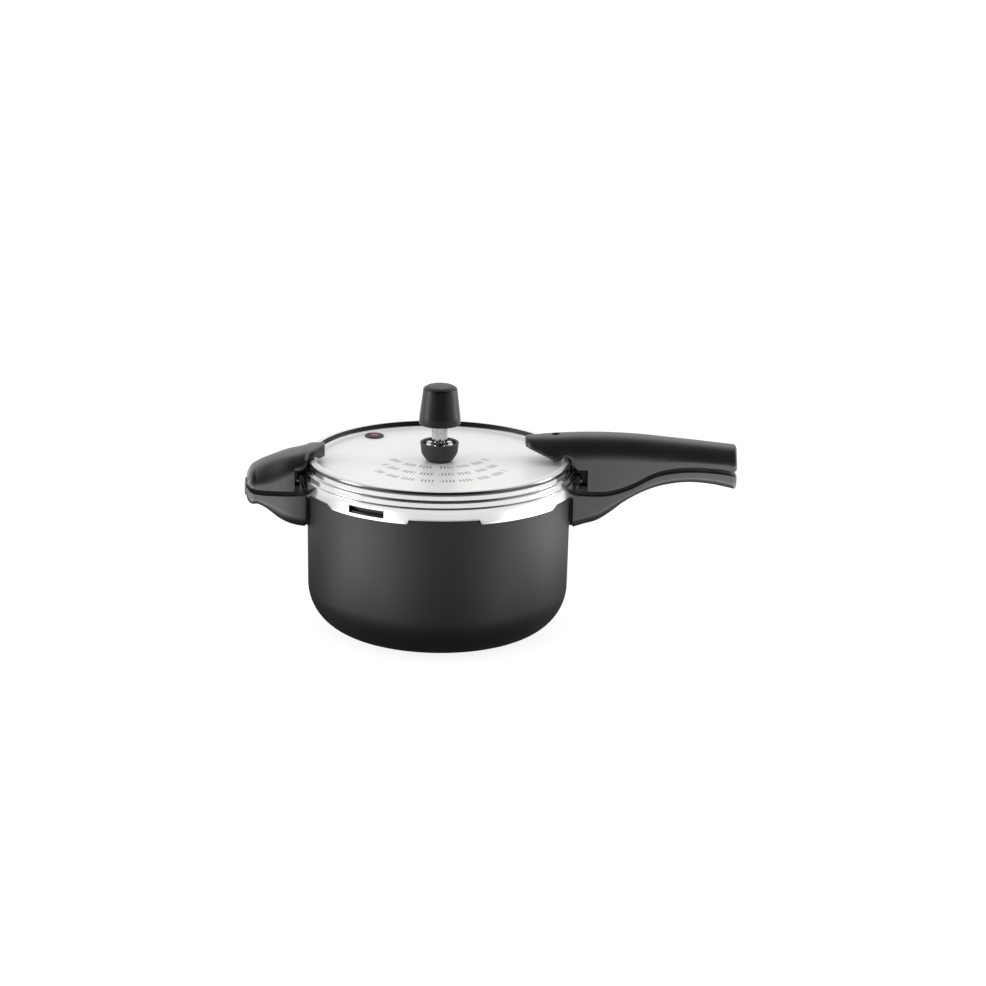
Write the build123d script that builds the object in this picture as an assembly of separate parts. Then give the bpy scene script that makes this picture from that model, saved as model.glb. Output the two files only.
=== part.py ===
"""Stovetop pressure cooker with a bayonet lid, paired handles and a weighted steam valve.

Frame: origin at the centre of the base's underside, +Z up the pot's axis, +X along the long handle.
Every size is in millimetres and every angle in degrees.  Lid heights are given above the pot's rim,
valve heights above the lid's deck, and handle reaches from the lid's skirt.
"""
import os
from math import asin, cos, degrees, radians, sin, sqrt, tan

from build123d import *

# ---------------------------------------------------------------- fits
RUN_GAP = 0.4          # between pieces that turn past each other
SEAT_GAP = 0.15        # between curved pieces that seat on each other
SHAFT_GAP = 0.06       # radial, a shaft in its own bore
PART_GAP = 3.0         # between the upper and the lower half of a handle
OVERRUN = 1.0          # how far a cutter runs out past the face that it opens

# ---------------------------------------------------------------- pot
POT_HEIGHT = 131.0
POT_RIM_R = 109.2
POT_DRAFT = 0.74
POT_WALL = 2.5
POT_BASE = 3.2
POT_BEND_R = 38.0
RIM_ROUND = 0.8
SIDE_LUG_TURN = 56.6   # from a handle's direction to the lugs on both sides of it
POT_LUG_ANGLE = 16.0
POT_LUG_REACH = 3.2
POT_LUG_TOP_DROP = 6.4
POT_LUG_THICK = 2.8

# ---------------------------------------------------------------- lid
LID_THICK = 1.5
DECK_RISE = 11.0
DECK_INSET = 13.3      # edge of the flat deck, inside the skirt's outer face
BEAD_RISE = 6.5        # raised bead round the deck, above the deck
BEAD_FLANK = 3.0
BEAD_TOP = 2.0
BEAD_ROUND = 0.9
BEAD_FOOT_RISE = 2.4
DECK_ROUND = 2.0       # hollow between the deck and the bead
STEP_RUN = 2.0         # flat part of each step of the lid's shoulder
UPPER_STEP_RISE = 8.4
SHOULDER_RISE = 3.0
SKIRT_DROP = 7.0
LID_LUG_ANGLE = 36.4
LID_LUG_LIP = 1.5
LID_LUG_ROUND = 1.2
STEEP_RAMP = 1.6       # slope of the lugs' ends away from the handles
LONG_RAMP = 6.0        # slope of the lugs' ends towards the handles
WINDOW_ANGLE = 16.6
WINDOW_HEIGHT = 6.2
WINDOW_DROP = 1.5

# ---------------------------------------------------------------- gasket
GASKET_BODY_W = 8.0
GASKET_HEIGHT = 6.4
GASKET_LIP_W = 4.0
GASKET_LIP_T = 1.8
GASKET_LIP_DROP = 3.4

# ---------------------------------------------------------------- steam vent
VENT_BORE_R = 5.0
TUBE_R = 3.2
TUBE_BORE_R = 1.3
TUBE_RISE = 26.0
TUBE_FLANGE_R = 8.0
TUBE_FLANGE_T = 2.0
TUBE_TAIL = 8.0
VENT_NUT_R = 8.0
VENT_NUT_T = 4.5
VENT_SEAL_T = 1.2
CUP_HEIGHT = 16.0
CUP_FOOT_R = 9.6
CUP_RIM_R = 16.1
CUP_BELLY_R = 14.3
CUP_BELLY_RISE = 8.8
CUP_WALL = 2.2
CUP_FLOOR = 4.0
RING_R = 11.6
RING_BORE_R = 7.6
RING_TOP = 15.2
RING_SLOTS = 8
RING_SLOT_W = 2.4

# ---------------------------------------------------------------- weight
SLEEVE_R = 6.6
SLEEVE_FOOT = 15.8
SLEEVE_COLLAR_R = 8.6
SLEEVE_COLLAR_T = 3.0
SLEEVE_FLUTES = 8
FLUTE_R = 1.1
CAP_FOOT = 33.0
CAP_FOOT_R = 17.2
CAP_HEIGHT = 31.5
CAP_SHOULDER_R = 13.2
CAP_SHOULDER_DROP = 4.0
CAP_ROUND = 3.6
CAP_DOME = 0.5
CAP_WALL = 2.6
CAP_ROOF = 5.5
CORE_HEIGHT = 20.0
CORE_CHAMFER = 1.0
NEEDLE_R = 2.4
NEEDLE_LENGTH = 19.0
NEEDLE_TIP = 1.5

# ---------------------------------------------------------------- pressure indicator
INDICATOR_INSET = 11.4 # from the edge of the flat deck to the indicator's axis
INDICATOR_TURN = 125.5
GROMMET_R = 8.0
GROMMET_NECK_R = 5.6
GROMMET_TOP_T = 2.8
GROMMET_FOOT_T = 2.6
GROMMET_ROUND = 1.2
PIN_R = 2.9
PIN_HEAD_R = 4.4
PIN_HEAD_T = 2.2
PIN_FOOT_R = 4.2
PIN_FOOT_T = 1.5
PIN_TRAVEL = 4.0

# ---------------------------------------------------------------- long handle
LONG_REACH = 132.4
LONG_WIDTH = 36.0
LONG_TIP_WIDTH = 31.0
LONG_NOSE_IN = 43.3    # how far the nose reaches in over the lid
LONG_NOSE_WIDTH = 20.0
LONG_NOSE_TOP = 31.6
LONG_NOSE_UNDER = 25.4
LONG_CHIN = 19.6       # underside of the nose, over the bead
LONG_CROWN = 34.3
LONG_CROWN_REACH = 46.0
LONG_CROWN_FALL = 1.5
LONG_END_TOP = 22.0
LONG_END_BULGE = 3.0
LONG_ROUND = 6.0
LONG_ROOT_GAP = 7.7    # clear space between the skirt and the handle's flanks
LONG_ROOT_DROP = 9.0   # lower edge of the upper half's flanks
LONG_ROOT_RUN = 31.0
LONG_RISE = 5.6        # parting line halfway up to its crest
LONG_CREST_REACH = 97.0
LONG_CREST = 9.8
LONG_PART_END = 6.0
LONG_LOWER_DROP = 43.6
LONG_LOWER_KNEE = 37.4
LONG_LOWER_KNEE_REACH = 15.9
LONG_LOWER_BEND = 21.0
LONG_LOWER_BEND_REACH = 38.0
LONG_LOWER_CREST = 3.7
LONG_LOWER_CREST_REACH = 91.0
LONG_LOWER_END = 10.4
LONG_LOWER_ROUND = 5.0

# ---------------------------------------------------------------- helper handle
HELPER_REACH = 45.0
HELPER_WIDTH = 42.0
HELPER_TIP_WIDTH = 38.0
HELPER_NOSE_IN = 19.5
HELPER_NOSE_WIDTH = 22.0
HELPER_NOSE_TOP = 25.4
HELPER_NOSE_UNDER = 17.8
HELPER_SHOULDER = 20.9
HELPER_BROW = 8.2
HELPER_BROW_REACH = 37.0
HELPER_PART_RISE = 2.6
HELPER_PART_REACH = 39.2
HELPER_END_RISE = 10.4 # parting line's end, above its level at the root
HELPER_ROUND = 6.0
HELPER_ROOT_GAP = 5.2
HELPER_ROOT_DROP = 10.0
HELPER_ROOT_RUN = 21.0
HELPER_LOWER_DROP = 43.4
HELPER_LOWER_KNEE = 38.8
HELPER_LOWER_KNEE_REACH = 10.5
HELPER_LOWER_BEND = 25.8
HELPER_LOWER_BEND_REACH = 27.0
HELPER_LOWER_LIP = 20.8
HELPER_LOWER_BULGE = 1.5
HELPER_LOWER_ROUND = 4.0

# ---------------------------------------------------------------- handle fixings
NOSE_FLARE = 1.4       # run of a nose's widening, for each millimetre of it
NOSE_ROUND = 0.35
BLOCK_WIDTH = 22.0     # narrow block of the upper halves, between flanks and skirt
SEAT_RISE = 8.0        # underside of the upper halves over the lid's shoulder
SEAT_FALL = 1.0
NOSE_SCREW_IN = 18.3
NOSE_SINK = 4.0
NOSE_WEB = 4.0
NOSE_NUT_R = 4.2
NOSE_NUT_T = 3.2
NOSE_WASHER_R = 5.4
NOSE_WASHER_T = 1.0
SPACER_R = 3.6
SCREW_R = 2.0
SCREW_HEAD_R = 3.4
SCREW_HEAD_T = 2.4
SCREW_SINK = 0.6
SADDLE_T = 2.4
SADDLE_ANGLE = 16.0
TONGUE_T = 3.5
TONGUE_WIDTH = 14.0
LONG_TONGUE = 34.0
HELPER_TONGUE = 20.0
TONGUE_SCREW_IN = 6.0  # screw, inside the free end of its tongue
RIVET_R = 2.0
RIVET_HEAD_R = 2.7
RIVET_HEAD_T = 1.4
RIVET_SPREAD = 21.0
POT_SADDLE_DROP = 13.2
POT_SADDLE_HEIGHT = 27.0
POT_RIVET_DROP = 31.0
POT_TONGUE_DROP = 17.0
POT_SCREW_WEB = 4.0
LID_SADDLE_RISE = 2.6
LID_SADDLE_HEIGHT = 8.6
LID_RIVET_DROP = 2.6

# ---------------------------------------------------------------- worked out from the above
RIM_Z = POT_HEIGHT
LUG_TURNS = [turn + side for turn in (0, 180) for side in (-SIDE_LUG_TURN, 0, SIDE_LUG_TURN)]
WINDOW_TURN = 180 + SIDE_LUG_TURN
POT_LUG_R = POT_RIM_R + POT_LUG_REACH
POT_LUG_TOP_Z = RIM_Z - POT_LUG_TOP_DROP
POT_LUG_FOOT_Z = POT_LUG_TOP_Z - POT_LUG_THICK
SKIRT_IN_R = POT_LUG_R + RUN_GAP
SKIRT_R = SKIRT_IN_R + LID_THICK
LIP_IN_R = POT_RIM_R + RUN_GAP
LIP_TOP_Z = POT_LUG_FOOT_Z - RUN_GAP
LIP_FOOT_Z = LIP_TOP_Z - LID_LUG_LIP
SKIRT_FOOT_Z = RIM_Z - SKIRT_DROP
DECK_Z = RIM_Z + DECK_RISE
DECK_UNDER_Z = DECK_Z - LID_THICK
DECK_R = SKIRT_R - DECK_INSET
INDICATOR_X = (DECK_R - INDICATOR_INSET) * cos(radians(INDICATOR_TURN))
INDICATOR_Y = (DECK_R - INDICATOR_INSET) * sin(radians(INDICATOR_TURN))
CAP_TOP = CAP_FOOT + CAP_HEIGHT
NOSE_SCREW_X = SKIRT_R - NOSE_SCREW_IN
SPACER_TOP_Z = RIM_Z + LONG_CHIN + NOSE_SINK
LID_RIVET_Z = RIM_Z - LID_RIVET_DROP
POT_RIVET_Z = RIM_Z - POT_RIVET_DROP
POT_SADDLE_TOP_Z = RIM_Z - POT_SADDLE_DROP
LID_SADDLE_TOP_Z = RIM_Z + LID_SADDLE_RISE
POT_TONGUE_Z = RIM_Z - POT_TONGUE_DROP
POT_SCREW_HEAD_Z = POT_TONGUE_Z - TONGUE_T / 2 - POT_SCREW_WEB - SCREW_HEAD_T
RIVET_TURN = degrees(asin(RIVET_SPREAD / 2 / SKIRT_R))


# ---------------------------------------------------------------- shared helpers
def disc(radius, foot, top):
    """A plain cylinder about the axis from one height to another."""
    return Pos(0, 0, foot) * extrude(Circle(radius), top - foot)


def turned(points):
    """A solid of revolution about the axis from (radius, height) points."""
    return revolve(Plane.XZ * make_face(Polyline(points, close=True)), Axis.Z)


def sector(points, arc, direction):
    """Part of a turned ring, of the given arc, centred on a direction."""
    face = Plane.XZ * make_face(Polyline(points, close=True))
    return Rot(0, 0, direction - arc / 2) * revolve(face, Axis.Z, revolution_arc=arc)


def rectangle_points(inner, outer, foot, top):
    """The four corners of a ring's section."""
    return [(inner, foot), (outer, foot), (outer, top), (inner, top)]


def hexagon(flat_r, foot, top):
    """A hexagonal prism about the axis, by the radius of its flats."""
    return Pos(0, 0, foot) * extrude(RegularPolygon(flat_r, 6, major_radius=False), top - foot)


def around(count, shape, start=0.0):
    """Copies of a shape turned evenly round the axis."""
    return [Rot(0, 0, start + 360.0 / count * step) * shape for step in range(count)]


def side_solid(curves, width):
    """A side outline in the XZ plane given thickness across Y, evenly about the axis."""
    outline = Plane.XZ.offset(-width / 2) * make_face(Curve() + curves)
    return extrude(outline, width)


# ---------------------------------------------------------------- pot
def wall_radius(height):
    """Outside radius of the drafted pot wall at a height."""
    return POT_RIM_R - (POT_HEIGHT - height) * tan(radians(POT_DRAFT))


def pot_envelope(inset, floor):
    """The pot's turned outside shape, or its inside when inset by the wall."""
    bend = POT_BEND_R - inset
    foot_r = wall_radius(POT_BEND_R) - inset
    rim_r = wall_radius(POT_HEIGHT) - inset
    top = POT_HEIGHT + (OVERRUN if inset else 0)
    corner = bend / sqrt(2)
    centre_r = foot_r - bend
    centre_z = floor + bend
    curves = [
        Line((0, floor), (centre_r, floor)),
        ThreePointArc((centre_r, floor), (centre_r + corner, centre_z - corner), (foot_r, centre_z)),
        Line((foot_r, centre_z), (rim_r, POT_HEIGHT)),
        Line((rim_r, POT_HEIGHT), (rim_r, top)) if inset else None,
        Line((rim_r, top), (0, top)),
        Line((0, top), (0, floor)),
    ]
    outline = make_face(Curve() + [curve for curve in curves if curve])
    return revolve(Plane.XZ * outline, Axis.Z)


def pot_body():
    """Drawn pot with a rounded foot and six bayonet lugs under its rim."""
    shell = pot_envelope(0, 0) - pot_envelope(POT_WALL, POT_BASE)
    shell = fillet(shell.edges().filter_by(GeomType.CIRCLE).group_by(Axis.Z)[-1], RIM_ROUND)
    inner = POT_RIM_R - POT_WALL / 2
    section = rectangle_points(inner, POT_LUG_R, POT_LUG_FOOT_Z, POT_LUG_TOP_Z)
    lugs = [sector(section, POT_LUG_ANGLE, turn) for turn in LUG_TURNS]
    return shell + lugs - rivet_hole(0, POT_RIVET_Z) - rivet_hole(180, POT_RIVET_Z)


# ---------------------------------------------------------------- lid
def shoulder_points():
    """The lid's outer line from the deck's edge over the bead and steps to the skirt."""
    bead_r = DECK_R + BEAD_FLANK
    foot_r = bead_r + 2 * BEAD_TOP
    upper_r = SKIRT_R - 2 * STEP_RUN
    return [
        (DECK_R, DECK_Z),
        (bead_r, DECK_Z + BEAD_RISE),
        (bead_r + BEAD_TOP, DECK_Z + BEAD_RISE),
        (foot_r, DECK_Z + BEAD_FOOT_RISE),
        (upper_r, RIM_Z + UPPER_STEP_RISE),
        (upper_r + STEP_RUN, RIM_Z + UPPER_STEP_RISE - LID_THICK / 2),
        (SKIRT_R, RIM_Z + SHOULDER_RISE),
    ]


def circle_at(shell, radius, height):
    """The shell's circular edge nearest to a radius and a height."""
    return shell.edges().filter_by(GeomType.CIRCLE).sort_by_distance((radius, 0, height))[0]


def lid_sheet():
    """The lid's pressed sheet as a turned shell, its whole skirt as deep as the lugs."""
    line = Polyline([(0, DECK_Z), *shoulder_points(), (SKIRT_R, LIP_FOOT_Z)])
    sheet = offset(line, LID_THICK, kind=Kind.INTERSECTION, side=Side.RIGHT, closed=True)
    shell = revolve(Plane.XZ * make_face(sheet), Axis.Z)
    shell = shell + turned(rectangle_points(LIP_IN_R, SKIRT_R - LID_THICK / 2, LIP_FOOT_Z, LIP_TOP_Z))
    bead_r = DECK_R + BEAD_FLANK
    shell = fillet(circle_at(shell, DECK_R, DECK_Z), DECK_ROUND)
    shell = fillet([circle_at(shell, r, DECK_Z + BEAD_RISE) for r in (bead_r, bead_r + BEAD_TOP)], BEAD_ROUND)
    return fillet(circle_at(shell, SKIRT_R, LIP_FOOT_Z), LID_LUG_ROUND)


def lid_envelope(gap):
    """Everything under the lid's outer line, for cutting seats a gap away from it."""
    points = [(r, z + gap) for r, z in shoulder_points()]
    top = [(0, DECK_Z + gap), *points, (SKIRT_R + gap, RIM_Z + SHOULDER_RISE + gap)]
    return turned([(0, 0), *top, (SKIRT_R + gap, 0)])


def lug_gap(arc, direction, ramp):
    """Cutter for one gap between lugs, narrower at its top by a ramp at each end."""
    foot = SKIRT_R * sin(radians(arc / 2))
    near = LIP_IN_R * cos(radians(arc / 2)) - OVERRUN
    section = Plane.YZ.offset(near) * make_face(Polyline([
        (-foot, LIP_FOOT_Z - OVERRUN),
        (foot, LIP_FOOT_Z - OVERRUN),
        (foot, LIP_FOOT_Z),
        (foot - ramp, SKIRT_FOOT_Z),
        (ramp - foot, SKIRT_FOOT_Z),
        (-foot, LIP_FOOT_Z),
    ], close=True))
    skirt = extrude(section, SKIRT_R + OVERRUN - near)
    lip = rectangle_points(LIP_IN_R - OVERRUN, SKIRT_IN_R, LIP_FOOT_Z - OVERRUN, SKIRT_FOOT_Z)
    return Rot(0, 0, direction) * (skirt + sector(lip, arc, 0))


def lug_gaps():
    """Cutters that leave only the six bayonet lugs of the skirt's deeper edge."""
    front = 180 - 2 * SIDE_LUG_TURN
    steep = [lug_gap(front - LID_LUG_ANGLE, turn, STEEP_RAMP) for turn in (90, 270)]
    long = [lug_gap(SIDE_LUG_TURN - LID_LUG_ANGLE, turn + side * SIDE_LUG_TURN / 2, LONG_RAMP)
            for turn in (0, 180) for side in (-1, 1)]
    return steep + long


def release_window():
    """Cutter for the opening through which the gasket gives way."""
    top = SKIRT_FOOT_Z + WINDOW_HEIGHT - WINDOW_DROP + LID_THICK / 2
    section = rectangle_points(POT_LUG_R, SKIRT_R + OVERRUN, top - WINDOW_HEIGHT, top)
    return sector(section, WINDOW_ANGLE, WINDOW_TURN)


def lid_shell():
    """Pressed lid with six lugs and the bores for vent, indicator and nose screws."""
    bores = [
        disc(VENT_BORE_R, 0, 2 * DECK_Z),
        Pos(INDICATOR_X, INDICATOR_Y) * disc(GROMMET_NECK_R, 0, 2 * DECK_Z),
        Pos(NOSE_SCREW_X, 0) * disc(SCREW_R + SHAFT_GAP, 0, 2 * DECK_Z),
        *rivet_hole(0, LID_RIVET_Z),
        *rivet_hole(180, LID_RIVET_Z),
    ]
    return lid_sheet() - lug_gaps() - bores - release_window()


def gasket():
    """Soft sealing ring: a broad body on the pot's rim with a thin lip hanging inside it."""
    outer = SKIRT_IN_R - SEAT_GAP
    inner = outer - GASKET_BODY_W
    foot = RIM_Z + RUN_GAP
    top = foot + GASKET_HEIGHT
    cheek = foot + (RIM_Z + SHOULDER_RISE - foot) / 2
    return turned([
        (outer, foot),
        (outer, cheek),
        (outer - GASKET_BODY_W / 2, top),
        (inner, top),
        (inner - GASKET_LIP_W, foot - GASKET_LIP_DROP + GASKET_LIP_T),
        (inner - GASKET_LIP_W, foot - GASKET_LIP_DROP),
        (inner, foot),
    ])


# ---------------------------------------------------------------- steam vent
def vent_tube():
    """Vent pipe: threaded tail through the deck, flange on it, bored spindle above."""
    tail = disc(VENT_BORE_R - SEAT_GAP, DECK_Z - TUBE_TAIL, DECK_Z)
    flange = disc(TUBE_FLANGE_R, DECK_Z, DECK_Z + TUBE_FLANGE_T)
    spindle = disc(TUBE_R, DECK_Z, DECK_Z + TUBE_RISE)
    return tail + flange + spindle - disc(TUBE_BORE_R, 0, 2 * DECK_Z)


def vent_seal():
    """Soft washer between the deck's underside and the vent's nut."""
    ring = disc(VENT_NUT_R, DECK_UNDER_Z - VENT_SEAL_T, DECK_UNDER_Z)
    return ring - disc(VENT_BORE_R, 0, 2 * DECK_Z)


def vent_nut():
    """Hexagonal nut on the vent's tail."""
    top = DECK_UNDER_Z - VENT_SEAL_T
    return hexagon(VENT_NUT_R, top - VENT_NUT_T, top) - disc(VENT_BORE_R, 0, 2 * DECK_Z)


def vent_cup():
    """Bowl round the vent's foot that catches spray."""
    top = DECK_Z + CUP_HEIGHT
    floor = DECK_Z + CUP_FLOOR
    wall = [
        Line((0, DECK_Z), (CUP_FOOT_R, DECK_Z)),
        ThreePointArc((CUP_FOOT_R, DECK_Z), (CUP_BELLY_R, DECK_Z + CUP_BELLY_RISE), (CUP_RIM_R, top)),
        Line((CUP_RIM_R, top), (0, top)),
        Line((0, top), (0, DECK_Z)),
    ]
    bowl = revolve(Plane.XZ * make_face(Curve() + wall), Axis.Z)
    hollow = turned([
        (0, floor),
        (RING_R + SEAT_GAP, floor),
        (CUP_RIM_R - CUP_WALL, top),
        (CUP_RIM_R - CUP_WALL, top + OVERRUN),
        (0, top + OVERRUN),
    ])
    foot = disc(TUBE_FLANGE_R + SEAT_GAP, 0, DECK_Z + TUBE_FLANGE_T)
    return bowl - hollow - foot - disc(TUBE_R + SEAT_GAP, 0, 2 * DECK_Z)


def vent_ring():
    """Ported ring nut that holds the cup down and lets steam out round the spindle."""
    floor = DECK_Z + CUP_FLOOR
    top = DECK_Z + RING_TOP
    ring = disc(RING_R, floor, top) - disc(RING_BORE_R, floor + CUP_WALL, top + OVERRUN)
    ring = ring - disc(TUBE_R + SEAT_GAP, 0, 2 * DECK_Z)
    rim = ring.edges().filter_by(GeomType.CIRCLE).group_by(Axis.Z)[-1]
    ring = fillet(rim, (RING_R - RING_BORE_R) / 4)
    reach = RING_R - RING_BORE_R
    port = Pos(RING_R, 0, top) * Box(reach, RING_SLOT_W, reach)
    return ring - around(RING_SLOTS, port)


# ---------------------------------------------------------------- weight
def cap_outline_radius(height):
    """Outside radius of the tapered cap at a height above its foot."""
    share = height / (CAP_HEIGHT - CAP_SHOULDER_DROP)
    return CAP_FOOT_R + (CAP_SHOULDER_R - CAP_FOOT_R) * share


def core_radius():
    """Radius of the weight's core, which fills the cap's mouth at its narrow end."""
    return cap_outline_radius(CAP_HEIGHT - CAP_ROOF) - CAP_WALL


def weight_cap():
    """Moulded tapered cap, hollow from below."""
    foot = DECK_Z + CAP_FOOT
    top = DECK_Z + CAP_TOP
    flank = Line((CAP_FOOT_R, foot), (CAP_SHOULDER_R, top - CAP_SHOULDER_DROP))
    dome = Line((CAP_SHOULDER_R - CAP_ROUND, top - CAP_DOME), (0, top))
    crown = [
        Line((0, foot), flank @ 0),
        flank,
        Spline(flank @ 1, dome @ 0, tangents=[flank % 1, dome % 0]),
        dome,
        Line(dome @ 1, (0, foot)),
    ]
    body = revolve(Plane.XZ * make_face(Curve() + crown), Axis.Z)
    roof = top - CAP_ROOF
    hollow = turned([
        (0, foot - OVERRUN),
        (CAP_FOOT_R - CAP_WALL, foot - OVERRUN),
        (CAP_FOOT_R - CAP_WALL, foot),
        (core_radius() + SEAT_GAP, roof - CORE_HEIGHT),
        (core_radius() + SEAT_GAP, roof),
        (0, roof),
    ])
    return body - hollow


def sleeve_top():
    """Height of the sleeve's collar, which meets the core."""
    return DECK_Z + CAP_TOP - CAP_ROOF - CORE_HEIGHT


def needle_foot():
    """Height of the needle's shoulder on the spindle's mouth."""
    return DECK_Z + TUBE_RISE + SEAT_GAP


def weight_core():
    """Heavy cylinder pressed into the cap, bored for the needle."""
    foot = sleeve_top()
    core = disc(core_radius(), foot, foot + CORE_HEIGHT)
    core = chamfer(core.edges().filter_by(GeomType.CIRCLE), CORE_CHAMFER)
    bore_top = needle_foot() + NEEDLE_LENGTH + RUN_GAP
    return core - disc(NEEDLE_R + SHAFT_GAP, foot - OVERRUN, bore_top)


def weight_sleeve():
    """Fluted sleeve under the core, which guides the weight on the spindle."""
    foot = DECK_Z + SLEEVE_FOOT
    top = sleeve_top()
    sleeve = disc(SLEEVE_R, foot, top) + disc(SLEEVE_COLLAR_R, top - SLEEVE_COLLAR_T, top)
    flute = Pos(SLEEVE_R, 0) * disc(FLUTE_R, foot - OVERRUN, top - SLEEVE_COLLAR_T - FLUTE_R)
    sleeve = sleeve - around(SLEEVE_FLUTES, flute)
    guide = disc(TUBE_R + RUN_GAP, 0, needle_foot() + RUN_GAP)
    return sleeve - guide - disc(NEEDLE_R + SHAFT_GAP, 0, top + OVERRUN)


def weight_needle():
    """Needle that closes the spindle's mouth and carries the turning weight."""
    foot = needle_foot()
    shaft = disc(NEEDLE_R, foot, foot + NEEDLE_LENGTH)
    point = Pos(0, 0, foot - NEEDLE_TIP / 2) * Cone(
        TUBE_BORE_R / 3, TUBE_BORE_R - SEAT_GAP, NEEDLE_TIP)
    return shaft + point


# ---------------------------------------------------------------- pressure indicator
def at_indicator(shape):
    """A shape moved from the axis to the indicator's place."""
    return Pos(INDICATOR_X, INDICATOR_Y) * shape


def indicator_grommet():
    """Soft grommet that grips the deck on both sides."""
    head = disc(GROMMET_R, DECK_Z, DECK_Z + GROMMET_TOP_T)
    head = fillet(head.edges().group_by(Axis.Z)[-1], GROMMET_ROUND)
    neck = disc(GROMMET_NECK_R - SEAT_GAP, DECK_UNDER_Z, DECK_Z)
    foot = disc(GROMMET_R - GROMMET_ROUND, DECK_UNDER_Z - GROMMET_FOOT_T, DECK_UNDER_Z)
    seat = disc(PIN_HEAD_R + SEAT_GAP, DECK_Z + GROMMET_TOP_T / 2, DECK_Z + GROMMET_TOP_T)
    return at_indicator(head + neck + foot - seat - disc(PIN_R + SHAFT_GAP, 0, 2 * DECK_Z))


def indicator_pin():
    """Pin with a wide head, which pressure pushes up through the grommet."""
    seat = DECK_Z + GROMMET_TOP_T / 2 + SEAT_GAP
    head = disc(PIN_HEAD_R, seat, seat + PIN_HEAD_T)
    head = fillet(head.edges().group_by(Axis.Z)[-1], PIN_HEAD_T / 2)
    foot_top = DECK_UNDER_Z - GROMMET_FOOT_T - RUN_GAP - PIN_TRAVEL
    shaft = disc(PIN_R, foot_top, seat)
    foot = disc(PIN_FOOT_R, foot_top - PIN_FOOT_T, foot_top)
    return at_indicator(head + shaft + foot)


# ---------------------------------------------------------------- handle brackets
def along_x(radius, near, far, height):
    """A cylinder lying along X at a height."""
    return Pos(near, 0, height) * Rot(0, 90, 0) * extrude(Circle(radius), far - near)


def rivet_pair(turn, shape):
    """A shape on +X copied to both rivet places of the bracket that faces a direction."""
    return [Rot(0, 0, turn + side * RIVET_TURN) * shape for side in (-1, 1)]


def rivet_hole(turn, height):
    """Cutters for the two rivet holes of a bracket."""
    return rivet_pair(turn, along_x(RIVET_R + SHAFT_GAP, POT_RIM_R / 2, SKIRT_R * 2, height))


def rivets(turn, inner_r, outer_r, height):
    """Two rivets through a wall and its bracket, headed on both sides."""
    shank = along_x(RIVET_R, inner_r, outer_r, height)
    inside = along_x(RIVET_HEAD_R, inner_r - RIVET_HEAD_T, inner_r, height)
    outside = along_x(RIVET_HEAD_R, outer_r, outer_r + RIVET_HEAD_T, height)
    return rivet_pair(turn, shank + inside + outside)


def saddle(foot, top, foot_r, top_r, tongue_z, tongue, height):
    """Curved steel bracket with a flat tongue that a handle slides over, facing +X."""
    section = [(foot_r, foot), (foot_r + SADDLE_T, foot), (top_r + SADDLE_T, top), (top_r, top)]
    plate = sector(section, SADDLE_ANGLE, 0)
    reach = top_r + SADDLE_T / 2
    bar = Pos(reach + tongue / 2, 0, tongue_z) * Box(tongue, TONGUE_WIDTH, TONGUE_T)
    end = bar.edges().filter_by(Axis.Z).group_by(Axis.X)[-1]
    bar = fillet(end, TONGUE_WIDTH / 4)
    hole = Pos(reach + tongue - TONGUE_SCREW_IN, 0) * disc(SCREW_R + SHAFT_GAP, 0, 2 * RIM_Z)
    return plate + bar - hole - rivet_hole(0, height)


def pot_saddle(tongue):
    """Bracket on the pot's wall."""
    foot = POT_SADDLE_TOP_Z - POT_SADDLE_HEIGHT
    foot_r = wall_radius(foot) + SEAT_GAP
    top_r = wall_radius(POT_SADDLE_TOP_Z) + SEAT_GAP
    return saddle(foot, POT_SADDLE_TOP_Z, foot_r, top_r, POT_TONGUE_Z, tongue, POT_RIVET_Z)


def lid_saddle(tongue):
    """Bracket on the lid's skirt."""
    foot = LID_SADDLE_TOP_Z - LID_SADDLE_HEIGHT
    radius = SKIRT_R + SEAT_GAP
    return saddle(foot, LID_SADDLE_TOP_Z, radius, radius, LID_RIVET_Z, tongue, LID_RIVET_Z)


def pot_rivets(turn):
    """Rivets of a bracket on the pot."""
    wall = wall_radius(POT_RIVET_Z)
    return rivets(turn, wall - POT_WALL - SEAT_GAP, wall + SADDLE_T + 2 * SEAT_GAP, POT_RIVET_Z)


def lid_rivets(turn):
    """Rivets of a bracket on the lid."""
    return rivets(turn, SKIRT_IN_R - SEAT_GAP, SKIRT_R + SADDLE_T + 2 * SEAT_GAP, LID_RIVET_Z)


def pot_screw_x(tongue):
    """Distance of a pot bracket's screw from the axis."""
    return wall_radius(POT_SADDLE_TOP_Z) + SEAT_GAP + SADDLE_T / 2 + tongue - TONGUE_SCREW_IN


def lid_screw_x(tongue):
    """Distance of a lid bracket's screw from the axis."""
    return SKIRT_R + SEAT_GAP + SADDLE_T / 2 + tongue - TONGUE_SCREW_IN


def tongue_screw(head_z, tip_z):
    """Pan-head screw on the axis, driven upwards."""
    head = disc(SCREW_HEAD_R, head_z, head_z + SCREW_HEAD_T)
    slot = Pos(0, 0, head_z) * Box(SCREW_HEAD_R * 2, SCREW_R / 2, SCREW_R)
    return head - slot + disc(SCREW_R, head_z + SCREW_HEAD_T, tip_z)


def screw_clearance(head_z, tip_z):
    """Room for an upward screw: a counterbore open below and a hole for the shank."""
    bore = disc(SCREW_HEAD_R + RUN_GAP, head_z - RIM_Z, head_z + SCREW_HEAD_T)
    return bore + disc(SCREW_R + SHAFT_GAP, head_z, tip_z + RUN_GAP)


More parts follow.
